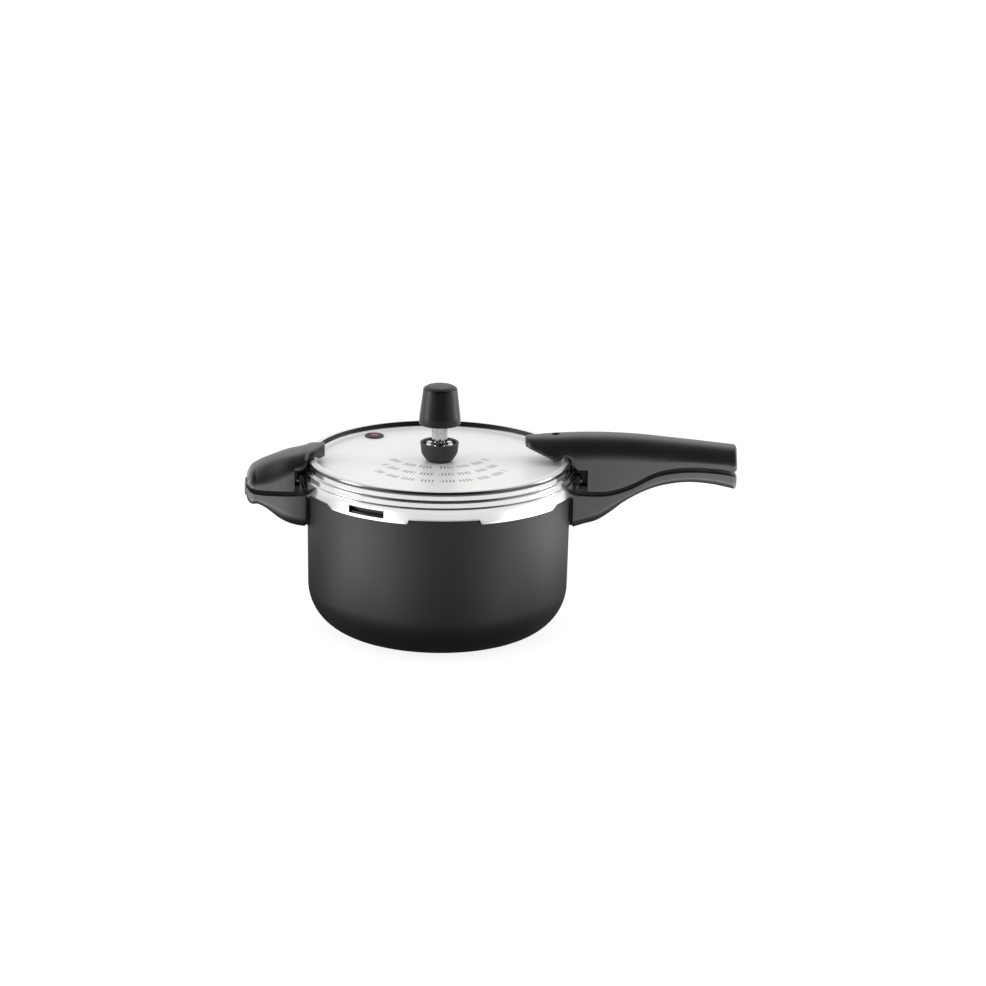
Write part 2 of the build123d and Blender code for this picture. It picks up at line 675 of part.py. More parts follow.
def bracket_clearance(tongue, tongue_z, reach):
    """Socket for a bracket's tongue, open towards the axis."""
    length = tongue + SEAT_GAP + TONGUE_WIDTH
    width = TONGUE_WIDTH + 2 * SEAT_GAP
    place = Pos(reach + SADDLE_T / 2 + tongue + SEAT_GAP - length / 2, 0, tongue_z)
    return place * Box(length, width, TONGUE_T + 2 * SEAT_GAP)


def rivet_pockets(outer_r, height):
    """Room in a handle's root for the rivet heads of its bracket."""
    pocket = along_x(RIVET_HEAD_R + RUN_GAP, outer_r - SADDLE_T, outer_r + RIVET_HEAD_T + RUN_GAP, height)
    return rivet_pair(0, pocket)


# ---------------------------------------------------------------- handles
def plan_outline(nose, nose_width, width, tip_width, end):
    """Plan of a handle: narrow rounded nose over the lid, full width at the root, slight taper."""
    flare = nose + (width - nose_width) * NOSE_FLARE
    side = Spline(
        (nose, nose_width / 2),
        (flare, width / 2),
        (end, tip_width / 2),
        tangents=[(1, 0.5), (1, 0), (1, -0.05)],
    )
    other = mirror(side, Plane.XZ)
    outline = make_face(Curve() + [side, Line(side @ 1, other @ 1), other, Line(other @ 0, side @ 0)])
    return fillet(outline.vertices().group_by(Axis.X)[0], nose_width * NOSE_ROUND)


def grip_outline(width, tip_width, end):
    """Plan of a lower half: straight sides with a slight taper."""
    return make_face(Polyline([(0, width / 2), (end, tip_width / 2), (end, -tip_width / 2), (0, -width / 2)],
                              close=True))


def crown_edges(body):
    """Edges of an upper half's crown face, but for one that ends the crown at the parting line."""
    crown = body.faces().sort_by(lambda face: face.area * face.normal_at().Z)[-1]
    return crown.edges().filter_by(lambda edge: (edge @ 0.5).Z > RIM_Z + SEAT_RISE)


def long_crown():
    """Upper line of the long handle, from its nose to its end."""
    return Spline(
        (SKIRT_R - LONG_NOSE_IN, RIM_Z + LONG_NOSE_TOP),
        (SKIRT_R, RIM_Z + LONG_CROWN),
        (SKIRT_R + LONG_CROWN_REACH, RIM_Z + LONG_CROWN - LONG_CROWN_FALL),
        (SKIRT_R + LONG_REACH - LONG_END_BULGE, RIM_Z + LONG_END_TOP),
    )


def long_parting(drop):
    """Line between the long handle's halves: level at the root, then rising over the grip."""
    return Spline(
        (SKIRT_R + LONG_ROOT_RUN, RIM_Z - LONG_ROOT_DROP - drop),
        (SKIRT_R + (LONG_ROOT_RUN + LONG_CREST_REACH) / 2, RIM_Z + LONG_RISE - drop),
        (SKIRT_R + LONG_CREST_REACH, RIM_Z + LONG_CREST - drop),
        (SKIRT_R + LONG_REACH - LONG_END_BULGE / 2, RIM_Z + LONG_PART_END - drop),
        tangents=[(1, 0.15), (1, -0.2)],
    )


def helper_parting(drop):
    """Line between the helper handle's halves."""
    level = RIM_Z - HELPER_ROOT_DROP - drop
    return Spline(
        (SKIRT_R + HELPER_ROOT_RUN, level),
        (SKIRT_R + HELPER_PART_REACH, level + HELPER_PART_RISE),
        (SKIRT_R + HELPER_REACH, level + HELPER_END_RISE),
    )


def nose_underside(parting, root_gap, root_drop, chin, nose):
    """Lines of an upper half from its parting line up the flank and in under the nose."""
    root_x = SKIRT_R + root_gap
    inner_x = SKIRT_R - LONG_ROOT_GAP
    seat = RIM_Z + SEAT_RISE
    points = [
        parting @ 0,
        (root_x, RIM_Z - root_drop),
        (root_x, seat - SEAT_FALL),
        (SKIRT_R - STEP_RUN, seat),
        (inner_x, RIM_Z + chin - STEP_RUN),
        (inner_x - STEP_RUN, RIM_Z + chin),
        nose,
    ]
    return [Line(start, end) for start, end in zip(points, points[1:])]


def upper_root(root_gap, root_drop):
    """Narrow block between an upper half's flanks and the lid's bracket."""
    near = SKIRT_R
    far = SKIRT_R + root_gap + SADDLE_T
    foot = RIM_Z - root_drop
    top = RIM_Z + SEAT_RISE
    return Pos((near + far) / 2, 0, (foot + top) / 2) * Box(far - near, BLOCK_WIDTH, top - foot)


def seated_on_lid(body, root_gap, root_drop, tongue):
    """An upper half with its root block, cut to sit on the lid, its bracket and its screw."""
    body = body + upper_root(root_gap, root_drop)
    bracket_r = SKIRT_R + SADDLE_T + 2 * SEAT_GAP
    bracket = disc(bracket_r, 0, LID_SADDLE_TOP_Z + SEAT_GAP)
    body = body - lid_envelope(SEAT_GAP) - bracket
    body = body - bracket_clearance(tongue, LID_RIVET_Z, SKIRT_R + SEAT_GAP)
    body = body - rivet_pockets(bracket_r, LID_RIVET_Z)
    head = RIM_Z - root_drop + SCREW_SINK
    hole = screw_clearance(head, LID_RIVET_Z + TONGUE_T)
    return body - Pos(lid_screw_x(tongue), 0) * hole


def long_handle_upper():
    """Upper half of the long handle, moulded in one with its nose over the lid."""
    crown = long_crown()
    parting = long_parting(0)
    nose_x = SKIRT_R - LONG_NOSE_IN
    bulge = (SKIRT_R + LONG_REACH, RIM_Z + (LONG_END_TOP + LONG_PART_END) / 2)
    nose = (nose_x, RIM_Z + LONG_NOSE_UNDER)
    under = nose_underside(parting, LONG_ROOT_GAP, LONG_ROOT_DROP, LONG_CHIN, nose)
    outline = [crown, ThreePointArc(crown @ 1, bulge, parting @ 1), parting, *under, Line(nose, crown @ 0)]
    body = side_solid(outline, 2 * LONG_WIDTH)
    plan = plan_outline(nose_x, LONG_NOSE_WIDTH, LONG_WIDTH, LONG_TIP_WIDTH, SKIRT_R + LONG_REACH)
    body = body & extrude(plan, RIM_Z * 2)
    body = fillet(crown_edges(body), LONG_ROUND)
    body = seated_on_lid(body, LONG_ROOT_GAP, LONG_ROOT_DROP, LONG_TONGUE)
    head_seat = SPACER_TOP_Z + NOSE_WEB
    hole = disc(SCREW_R + SHAFT_GAP, 0, head_seat + OVERRUN)
    hole = hole + disc(SCREW_HEAD_R + RUN_GAP, head_seat, head_seat + LONG_CROWN)
    hole = hole + disc(SPACER_R + SEAT_GAP, 0, SPACER_TOP_Z)
    return body - Pos(NOSE_SCREW_X, 0) * hole


def helper_handle_upper():
    """Upper half of the helper handle, with a short nose over the lid's bead."""
    parting = helper_parting(0)
    nose_x = SKIRT_R - HELPER_NOSE_IN
    crown = Spline(
        (nose_x, RIM_Z + HELPER_NOSE_TOP),
        (SKIRT_R, RIM_Z + HELPER_SHOULDER),
        (SKIRT_R + HELPER_BROW_REACH, RIM_Z + HELPER_BROW),
        parting @ 1,
    )
    nose = (nose_x, RIM_Z + HELPER_NOSE_UNDER)
    under = nose_underside(parting, HELPER_ROOT_GAP, HELPER_ROOT_DROP, HELPER_NOSE_UNDER, nose)
    body = side_solid([crown, parting, *under, Line(nose, crown @ 0)], 2 * HELPER_WIDTH)
    plan = plan_outline(nose_x, HELPER_NOSE_WIDTH, HELPER_WIDTH, HELPER_TIP_WIDTH, SKIRT_R + HELPER_REACH)
    body = body & extrude(plan, RIM_Z * 2)
    body = fillet(crown_edges(body), HELPER_ROUND)
    body = seated_on_lid(body, HELPER_ROOT_GAP, HELPER_ROOT_DROP, HELPER_TONGUE)
    return Rot(0, 0, 180) * body


def seated_on_pot(body, tongue):
    """A lower half cut to sit against the pot's bracket."""
    bracket_r = POT_RIM_R + SADDLE_T + 2 * SEAT_GAP
    body = body - disc(bracket_r, 0, RIM_Z)
    body = body - bracket_clearance(tongue, POT_TONGUE_Z, wall_radius(POT_SADDLE_TOP_Z) + SEAT_GAP)
    body = body - rivet_pockets(bracket_r, POT_RIVET_Z)
    return body - Pos(pot_screw_x(tongue), 0) * screw_clearance(POT_SCREW_HEAD_Z, POT_TONGUE_Z + TONGUE_T)


def lower_half(parting, root_drop, underside, end_x, width, tip_width, round_r, tongue):
    """A lower half: parting line on top, curved underside, rounded long edges below."""
    level = RIM_Z - root_drop - PART_GAP
    start = (POT_RIM_R, level)
    end = ThreePointArc(parting @ 1, (end_x, ((parting @ 1).Y + (underside @ 1).Y) / 2), underside @ 1)
    outline = [Line(start, parting @ 0), parting, end, underside, Line(underside @ 0, start)]
    body = side_solid(outline, 2 * width)
    body = body & extrude(grip_outline(width, tip_width, end_x), RIM_Z * 2)
    bottom = body.faces().sort_by(Axis.Z)[0]
    sides = [edge for edge in bottom.edges() if abs((edge @ 0.5).Y) > tip_width / 4]
    body = fillet(sides, round_r)
    return seated_on_pot(body, tongue)


def long_handle_lower():
    """Lower half of the long handle."""
    underside = Spline(
        (POT_RIM_R, RIM_Z - LONG_LOWER_DROP),
        (SKIRT_R + LONG_LOWER_KNEE_REACH, RIM_Z - LONG_LOWER_KNEE),
        (SKIRT_R + LONG_LOWER_BEND_REACH, RIM_Z - LONG_LOWER_BEND),
        (SKIRT_R + LONG_LOWER_CREST_REACH, RIM_Z - LONG_LOWER_CREST),
        (SKIRT_R + LONG_REACH - LONG_END_BULGE / 2, RIM_Z - LONG_LOWER_END),
    )
    return lower_half(long_parting(PART_GAP), LONG_ROOT_DROP, underside, SKIRT_R + LONG_REACH,
                      LONG_WIDTH, LONG_TIP_WIDTH, LONG_LOWER_ROUND, LONG_TONGUE)


def helper_handle_lower():
    """Lower half of the helper handle, with a lip for the fingers."""
    underside = Spline(
        (POT_RIM_R, RIM_Z - HELPER_LOWER_DROP),
        (SKIRT_R + HELPER_LOWER_KNEE_REACH, RIM_Z - HELPER_LOWER_KNEE),
        (SKIRT_R + HELPER_LOWER_BEND_REACH, RIM_Z - HELPER_LOWER_BEND),
        (SKIRT_R + HELPER_REACH, RIM_Z - HELPER_LOWER_LIP),
    )
    end_x = SKIRT_R + HELPER_REACH + HELPER_LOWER_BULGE
    body = lower_half(helper_parting(PART_GAP), HELPER_ROOT_DROP, underside, end_x,
                      HELPER_WIDTH, HELPER_TIP_WIDTH, HELPER_LOWER_ROUND, HELPER_TONGUE)
    return Rot(0, 0, 180) * body


# ---------------------------------------------------------------- nose fixing
def nose_spacer():
    """Ferrule between the deck and the long handle's nose."""
    return Pos(NOSE_SCREW_X, 0) * (
        disc(SPACER_R, DECK_Z, SPACER_TOP_Z) - disc(SCREW_R + SHAFT_GAP, 0, 2 * DECK_Z))


def nose_screw():
    """Screw from the nose's recess through spacer and deck."""
    seat = SPACER_TOP_Z + NOSE_WEB
    tip = DECK_UNDER_Z - NOSE_WASHER_T - NOSE_NUT_T + SCREW_SINK
    head = disc(SCREW_HEAD_R, seat, seat + SCREW_HEAD_T)
    slot = Pos(0, 0, seat + SCREW_HEAD_T) * Box(SCREW_HEAD_R * 2, SCREW_R / 2, SCREW_R)
    return Pos(NOSE_SCREW_X, 0) * (head - slot + disc(SCREW_R, tip, seat))


def nose_washer():
    """Soft washer that seals the screw's hole from below."""
    foot = DECK_UNDER_Z - NOSE_WASHER_T
    ring = disc(NOSE_WASHER_R, foot, DECK_UNDER_Z) - disc(SCREW_R + SHAFT_GAP, 0, 2 * DECK_Z)
    return Pos(NOSE_SCREW_X, 0) * ring


def nose_nut():
    """Closed nut under the deck."""
    top = DECK_UNDER_Z - NOSE_WASHER_T
    nut = hexagon(NOSE_NUT_R, top - NOSE_NUT_T, top)
    return Pos(NOSE_SCREW_X, 0) * (nut - disc(SCREW_R + SHAFT_GAP, top - NOSE_NUT_T + SCREW_SINK, top))


# ---------------------------------------------------------------- nodes
def nodes():
    """Every piece by its node's name."""
    lid_head_z = RIM_Z - LONG_ROOT_DROP + SCREW_SINK
    helper_head_z = RIM_Z - HELPER_ROOT_DROP + SCREW_SINK
    lid_tip_z = LID_RIVET_Z + TONGUE_T
    pot_tip_z = POT_TONGUE_Z + TONGUE_T
    half_turn = Rot(0, 0, 180)
    return {
        "pot_body": pot_body(),
        "long_pot_bracket": pot_saddle(LONG_TONGUE),
        "long_pot_rivets": pot_rivets(0),
        "long_handle_lower": long_handle_lower(),
        "long_lower_screw": Pos(pot_screw_x(LONG_TONGUE), 0) * tongue_screw(POT_SCREW_HEAD_Z, pot_tip_z),
        "helper_pot_bracket": half_turn * pot_saddle(HELPER_TONGUE),
        "helper_pot_rivets": pot_rivets(180),
        "helper_handle_lower": helper_handle_lower(),
        "helper_lower_screw": Pos(-pot_screw_x(HELPER_TONGUE), 0) * tongue_screw(POT_SCREW_HEAD_Z, pot_tip_z),
        "lid_shell": lid_shell(),
        "gasket": gasket(),
        "long_lid_bracket": lid_saddle(LONG_TONGUE),
        "long_lid_rivets": lid_rivets(0),
        "long_handle_upper": long_handle_upper(),
        "long_upper_screw": Pos(lid_screw_x(LONG_TONGUE), 0) * tongue_screw(lid_head_z, lid_tip_z),
        "helper_lid_bracket": half_turn * lid_saddle(HELPER_TONGUE),
        "helper_lid_rivets": lid_rivets(180),
        "helper_handle_upper": helper_handle_upper(),
        "helper_upper_screw": Pos(-lid_screw_x(HELPER_TONGUE), 0) * tongue_screw(helper_head_z, lid_tip_z),
        "nose_spacer": nose_spacer(),
        "nose_screw": nose_screw(),
        "nose_washer": nose_washer(),
        "nose_nut": nose_nut(),
        "vent_tube": vent_tube(),
        "vent_seal": vent_seal(),
        "vent_nut": vent_nut(),
        "vent_cup": vent_cup(),
        "vent_ring": vent_ring(),
        "weight_needle": weight_needle(),
        "weight_cap": weight_cap(),
        "weight_core": weight_core(),
        "weight_sleeve": weight_sleeve(),
        "indicator_grommet": indicator_grommet(),
        "indicator_pin": indicator_pin(),
    }


os.makedirs("parts", exist_ok=True)
for name, shape in nodes().items():
    if isinstance(shape, list):
        shape = Compound(children=shape)
    export_step(shape, f"parts/{name}.step")
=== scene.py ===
"""Finish and fine form of a stovetop pressure cooker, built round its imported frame.

Sizes inside the classes are millimetres, heights are above the rim or the deck that the frame gives,
and every mesh is written in metres with its place in its vertices.
"""
import logging
from abc import ABC, abstractmethod
from dataclasses import dataclass
from enum import Enum
from math import radians, tan

import bmesh
import bpy
import numpy as np
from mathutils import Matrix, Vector


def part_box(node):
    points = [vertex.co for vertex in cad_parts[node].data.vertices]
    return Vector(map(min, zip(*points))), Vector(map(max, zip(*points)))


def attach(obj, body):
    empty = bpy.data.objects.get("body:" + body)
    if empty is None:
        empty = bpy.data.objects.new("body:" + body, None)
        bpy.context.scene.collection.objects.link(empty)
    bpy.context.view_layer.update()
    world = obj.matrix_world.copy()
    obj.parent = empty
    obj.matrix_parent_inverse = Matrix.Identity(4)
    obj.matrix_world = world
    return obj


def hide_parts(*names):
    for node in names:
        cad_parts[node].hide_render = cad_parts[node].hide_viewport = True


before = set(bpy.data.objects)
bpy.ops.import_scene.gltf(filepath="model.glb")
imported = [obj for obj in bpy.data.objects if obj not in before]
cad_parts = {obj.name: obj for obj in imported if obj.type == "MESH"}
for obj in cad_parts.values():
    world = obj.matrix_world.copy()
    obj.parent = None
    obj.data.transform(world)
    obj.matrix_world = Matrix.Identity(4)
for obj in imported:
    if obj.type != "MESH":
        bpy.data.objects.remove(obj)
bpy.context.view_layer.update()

MM = 0.001
WELD = 2e-6                     # vertices nearer than this become one, in metres
SHARP = radians(32)             # faces that meet at more than this keep a hard edge
STEPS = 5                       # facets of an outline's rounded corner
MARGIN = 0.4                    # distance of a supporting point from the end of a long run
HAIR = 0.02                     # faces that would lie in one plane are kept this far apart
SIDE_LUG = 56.6                 # degrees from a handle to the bayonet lugs on both sides of it
LUG_TURNS = [turn + side * SIDE_LUG for turn in (0, 180) for side in (-1, 0, 1)]

Array = np.ndarray
Colour = tuple[float, float, float]
Corner = tuple[float, float, float]                 # across, up and radius of an outline's corner
Knots = tuple[tuple[float, float], ...]
Material = bpy.types.Material
Socket = bpy.types.NodeSocket

log = logging.getLogger("cooker")


class Body(Enum):
    """The moving groups of the frame that new pieces ride on."""

    POT = "pot"
    LID = "lid"
    WEIGHT = "weight"
    INDICATOR = "indicator"


class Slot(Enum):
    """Names of the record's material slots."""

    COATING = "pot_coating"
    ALUMINIUM = "lid_aluminium"
    HANDLE = "handle_moulding"
    GASKET = "gasket_silicone"
    RUBBER = "seal_rubber"
    CHROME = "vent_chrome"
    CUP = "cup_moulding"
    CAP = "weight_cap_moulding"
    PIN = "pin_red"


# ---------------------------------------------------------------- places from the frame
def span(node: str) -> tuple[Array, Array]:
    """Lowest and highest corner of a node in millimetres."""
    low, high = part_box(node)
    return np.array(low) / MM, np.array(high) / MM


def reach_of(node: str) -> float:
    """How far a node reaches along +X, in millimetres."""
    return float(span(node)[1][0])


RIM = float(span("pot_body")[1][2])
DECK = float(span("vent_cup")[0][2])
SKIRT_R = reach_of("lid_shell")


# ---------------------------------------------------------------- outlines
def moved(corners: list[Corner], across: float, up: float) -> list[Corner]:
    """Corners of an outline carried to another place."""
    return [(x + across, z + up, radius) for x, z, radius in corners]


def rounded(corners: list[Corner], steps: int = STEPS) -> Array:
    """An open outline whose inner corners are arcs.

    With h half the turn at a corner, its arc starts radius * tan(h) before the corner, ends as far
    after it, and sweeps the turn by spherical interpolation between its two radii.

    Args:
        corners: (across, up, radius) of each corner, first and last being plain ends.
        steps: facets of each arc.

    Returns:
        Points of the outline, with steps + 1 of them for each inner corner.
    """
    points = [np.array(corners[0][:2])[None]]
    share = np.linspace(0, 1, steps + 1)[:, None]
    for before, corner, after in zip(corners, corners[1:-1], corners[2:]):
        at = np.array(corner[:2])
        back = np.array(before[:2]) - at
        onward = np.array(after[:2]) - at
        back = back / np.linalg.norm(back)
        onward = onward / np.linalg.norm(onward)
        turn = max(np.pi - np.arccos(np.clip(back @ onward, -1, 1)), 1e-4)
        reach = corner[2] * tan(turn / 2)
        centre = at + (back + onward) * reach / (1 - np.cos(turn))
        first = at + back * reach - centre
        last = at + onward * reach - centre
        sweep = (np.sin((1 - share) * turn) * first + np.sin(share * turn) * last) / np.sin(turn)
        points.append(centre + sweep)
    points.append(np.array(corners[-1][:2])[None])
    return np.concatenate(points)


def supported(outline: Array) -> Array:
    """An outline with a point near both ends of each long run, so that its shading stays flat.

    Args:
        outline: points of the outline.

    Returns:
        The outline with two more points on each run longer than four margins.
    """
    run = np.diff(outline, axis=0)
    length = np.linalg.norm(run, axis=1)
    long = np.nonzero(length > 4 * MARGIN)[0]
    step = run[long] * (MARGIN / length[long])[:, None]
    extra = np.stack([outline[long] + step, outline[long + 1] - step], axis=1).reshape(-1, 2)
    return np.insert(outline, np.repeat(long + 1, 2), extra, axis=0)


def flowing(across: Array, knots: Knots) -> Array:
    """Smooth curve through knots: cubic Hermite spans whose slopes follow the neighbouring knots.

    Args:
        across: where the curve is wanted.
        knots: (across, height) in rising order.

    Returns:
        The curve's height at each place.
    """
    x, y = np.array(knots, dtype=float).T
    slope = np.gradient(y, x)
    index = np.clip(np.searchsorted(x, across) - 1, 0, len(x) - 2)
    width = x[index + 1] - x[index]
    t = np.clip((across - x[index]) / width, 0, 1)
    start = (1 + 2 * t) * (1 - t) ** 2 * y[index] + t * (1 - t) ** 2 * width * slope[index]
    end = t * t * (3 - 2 * t) * y[index + 1] + t * t * (t - 1) * width * slope[index + 1]
    return start + end


def eased(value: Array, start: float, end: float) -> Array:
    """Smooth step from 0 at start to 1 at end: 3 t squared less 2 t cubed."""
    t = np.clip((value - start) / (end - start), 0, 1)
    return t * t * (3 - 2 * t)


# ---------------------------------------------------------------- surfaces
@dataclass
class Sheet:
    """A closed surface on a grid: rows of points, each row a closed loop.

    Attributes:
        points: rows by columns by 3, in millimetres.
        ring: True where the last row joins the first, False where both ends close to a point.
        window: rows and columns of a hole through two walls, as (outer, outer, inner, inner, first, last).
    """

    points: Array
    ring: bool = False
    window: tuple[int, int, int, int, int, int] | None = None

    def faces(self) -> Array:
        """Quads between neighbouring rows and columns, less a window's faces and with its reveals.

        Returns:
            The faces, as four indices of points each.
        """
        rows, columns = self.points.shape[:2]
        index = np.arange(rows * columns).reshape(rows, columns)
        ahead = np.roll(index, -1, axis=1)
        quads = np.stack([index, ahead, np.roll(ahead, -1, axis=0), np.roll(index, -1, axis=0)], axis=2)
        keep = np.ones((rows, columns), dtype=bool)
        keep[-1] = self.ring
        if self.window is None:
            return quads[keep]
        upper, lower, inner_lower, inner_upper, first, last = self.window
        keep[upper:lower, first:last] = False
        keep[inner_lower:inner_upper, first:last] = False
        here = slice(first, last)
        after = slice(first + 1, last + 1)
        reveals = [np.stack([index[a, here], index[a, after], index[b, after], index[b, here]], axis=1)
                   for a, b in ((upper, inner_upper), (lower, inner_lower))]
        jambs = index[[upper, lower, inner_lower, inner_upper]][:, [first, last]].T
        return np.concatenate([quads[keep], *reveals, jambs])


def lathe(outline: Array, angles: Array | int, centre: tuple[float, float] = (0, 0),
          ring: bool = False) -> Sheet:
    """An outline turned about an upright axis: each point is (r cos a, r sin a, z).

    Args:
        outline: (radius, height) points, or one such outline for each angle.
        angles: the angles of the columns, or how many even ones.
        centre: where the axis stands.
        ring: True for a closed outline that doesn't touch the axis.

    Returns:
        The turned surface.
    """
    turn = np.linspace(0, 2 * np.pi, angles, endpoint=False) if isinstance(angles, int) else angles
    profile = outline if outline.ndim == 3 else outline[:, None, :]
    radius = profile[..., 0] + 0 * turn
    height = profile[..., 1] + 0 * turn
    points = np.stack([centre[0] + radius * np.cos(turn), centre[1] + radius * np.sin(turn), height], axis=2)
    return Sheet(points, ring)


def linked(name: str, data: bpy.types.ID) -> bpy.types.Object:
    """A new object in the scene for a mesh, a lamp or a camera.

    Args:
        name: the name of the object.
        data: what it shows.

    Returns:
        The object.
    """
    holder = bpy.data.objects.new(name, data)
    bpy.context.scene.collection.objects.link(holder)
    return holder


def new_piece(name: str, sheets: list[Sheet], material: Material, body: Body,
              replaces: str) -> None:
    """Puts sheets into one welded, outward mesh that rides on a body and stands for a node.

    Args:
        name: the piece's name.
        sheets: its closed surfaces.
        material: its finish.
        body: what it moves with.
        replaces: the node that it stands for.
    """
    starts = np.cumsum([0] + [sheet.points[..., 0].size for sheet in sheets])
    points = np.concatenate([sheet.points.reshape(-1, 3) for sheet in sheets]) * MM
    quads = np.concatenate([sheet.faces() + start for sheet, start in zip(sheets, starts)])
    mesh = bpy.data.meshes.new(name)
    mesh.from_pydata(points.tolist(), [], quads.tolist())
    work = bmesh.new()
    work.from_mesh(mesh)
    bmesh.ops.remove_doubles(work, verts=work.verts, dist=WELD)
    bmesh.ops.recalc_face_normals(work, faces=work.faces)
    work.to_mesh(mesh)
    work.free()
    mesh.polygons.foreach_set("use_smooth", np.ones(len(mesh.polygons), dtype=bool))
    mesh.set_sharp_from_angle(angle=SHARP)
    mesh.materials.append(material)
    piece = linked(name, mesh)
    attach(piece, body.value)
    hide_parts(replaces)
    log.info("%s: %d faces on %s for %s", name, len(mesh.polygons), body.value, replaces)


def dress(material: Material, *nodes: str) -> None:
    """Gives the frame's own nodes a finish.

    Args:
        material: the finish.
        nodes: names of the nodes that get it.
    """
    for node in nodes:
        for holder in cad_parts[node].material_slots:
            holder.material = material
        log.info("%s: dressed", node)


# ---------------------------------------------------------------- shader nodes
@dataclass(frozen=True)
class Signal:
    """A number that changes over a surface: an output socket with arithmetic."""

    kit: "NodeKit"
    socket: Socket

    def __add__(self, other: "Signal | float") -> "Signal":
        """Sum."""
        return self.kit.maths("ADD", self, other)

    def __sub__(self, other: "Signal | float") -> "Signal":
        """Difference."""
        return self.kit.maths("SUBTRACT", self, other)

    def __rsub__(self, other: float) -> "Signal":
        """A number less this."""
        return self.kit.maths("SUBTRACT", other, self)

    def __mul__(self, other: "Signal | float") -> "Signal":
        """Product."""
        return self.kit.maths("MULTIPLY", self, other)

    __radd__ = __add__
    __rmul__ = __mul__

    def step(self, start: float, end: float) -> "Signal":
        """Smooth step from 0 at start to 1 at end; start may be the larger.

        Args:
            start: where it is still 0.
            end: where it has become 1.

        Returns:
            The step.
        """
        low, high, first, last = (start, end, 0.0, 1.0) if start < end else (end, start, 1.0, 0.0)
        node = self.kit.node("ShaderNodeMapRange", {"interpolation_type": "SMOOTHSTEP"},
                             {0: self, 1: low, 2: high, 3: first, 4: last})
        return Signal(self.kit, node.outputs[0])

    def line(self, at: float, width: float, core: float = 0.4) -> "Signal":
        """A band of 1 where this number is within a width of a value, full inside a share of that width."""
        return self.kit.maths("ABSOLUTE", self - at).step(width, width * core)


class NodeKit:
    """Builds one node tree: arithmetic, colours and any other node by one method."""

    def __init__(self, tree: bpy.types.NodeTree) -> None:
        """Takes the tree to build in and empties it."""
        self.tree = tree
        tree.nodes.clear()

    def node(self, kind: str, settings: dict, inputs: dict) -> bpy.types.Node:
        """A node with its settings made first and then its sockets.

        Args:
            kind: the node's type.
            settings: attributes of the node.
            inputs: values, signals or sockets by input name or number.

        Returns:
            The node.
        """
        node = self.tree.nodes.new(kind)
        for key, value in settings.items():
            setattr(node, key, value)
        for key, value in inputs.items():
            if isinstance(value, Signal):
                value = value.socket
            if isinstance(value, Socket):
                self.tree.links.new(value, node.inputs[key])
            elif isinstance(value, tuple) and len(node.inputs[key].default_value) == 4:
                node.inputs[key].default_value = (*value, 1)
            else:
                node.inputs[key].default_value = value
        return node

    def maths(self, operation: str, *values: "Signal | float") -> Signal:
        """A Math node on numbers and signals."""
        node = self.node("ShaderNodeMath", {"operation": operation}, dict(enumerate(values)))
        return Signal(self, node.outputs[0])

    def distance(self, x: Signal, y: Signal) -> Signal:
        """Root of the sum of two squares."""
        return self.maths("SQRT", x * x + y * y)

    def ray(self, kind: str) -> Signal:
        """1 for rays of a kind, such as Camera or Glossy."""
        return Signal(self, self.node("ShaderNodeLightPath", {}, {}).outputs[f"Is {kind} Ray"])

    def place(self) -> Socket:
        """Object coordinates."""
        return self.node("ShaderNodeTexCoord", {}, {}).outputs["Object"]

    def scaled(self, vector: Socket, scale: tuple[float, float, float]) -> Socket:
        """A vector stretched along its axes."""
        return self.node("ShaderNodeMapping", {}, {"Vector": vector, "Scale": scale}).outputs[0]

    def parts(self, vector: Socket) -> tuple[Signal, Signal, Signal]:
        """A vector's three numbers in millimetres.

        Args:
            vector: a vector in metres.

        Returns:
            Its x, y and z.
        """
        split = self.node("ShaderNodeSeparateXYZ", {}, {0: vector})
        x, y, z = (Signal(self, socket) * (1 / MM) for socket in split.outputs)
        return x, y, z

    def noise(self, vector: Socket, size: float, detail: float = 2.0) -> Signal:
        """Cloudy noise about 0 to 1, whose lumps are of a size in millimetres."""
        inputs = {"Vector": vector, "Scale": 1 / (size * MM), "Detail": detail}
        return Signal(self, self.node("ShaderNodeTexNoise", {}, inputs).outputs[0])

    def blend(self, factor: "Signal | float", first: object, second: object) -> Socket:
        """A colour between two others."""
        node = self.node("ShaderNodeMix", {"data_type": "RGBA"}, {0: factor, 6: first, 7: second})
        return node.outputs[2]

    def relief(self, height: Signal, depth: float) -> Socket:
        """A bumped normal from a height of 0 to 1 that stands for a depth in millimetres."""
        return self.node("ShaderNodeBump", {}, {"Height": height, "Distance": depth * MM}).outputs[0]

    def surface(self, inputs: dict) -> None:
        """The closing shader and output."""
        shader = self.node("ShaderNodeBsdfPrincipled", {}, inputs)
        self.node("ShaderNodeOutputMaterial", {}, {"Surface": shader.outputs[0]})


def blank(name: str) -> tuple[Material, NodeKit]:
    """Args:
        name: the name of the material.

    Returns:
        The material, and a kit on its empty tree.
    """
    material = bpy.data.materials.new(name)
    material.use_nodes = True
    return material, NodeKit(material.node_tree)


# ---------------------------------------------------------------- finishes
WHITE: Colour = (1.0, 1.0, 1.0)


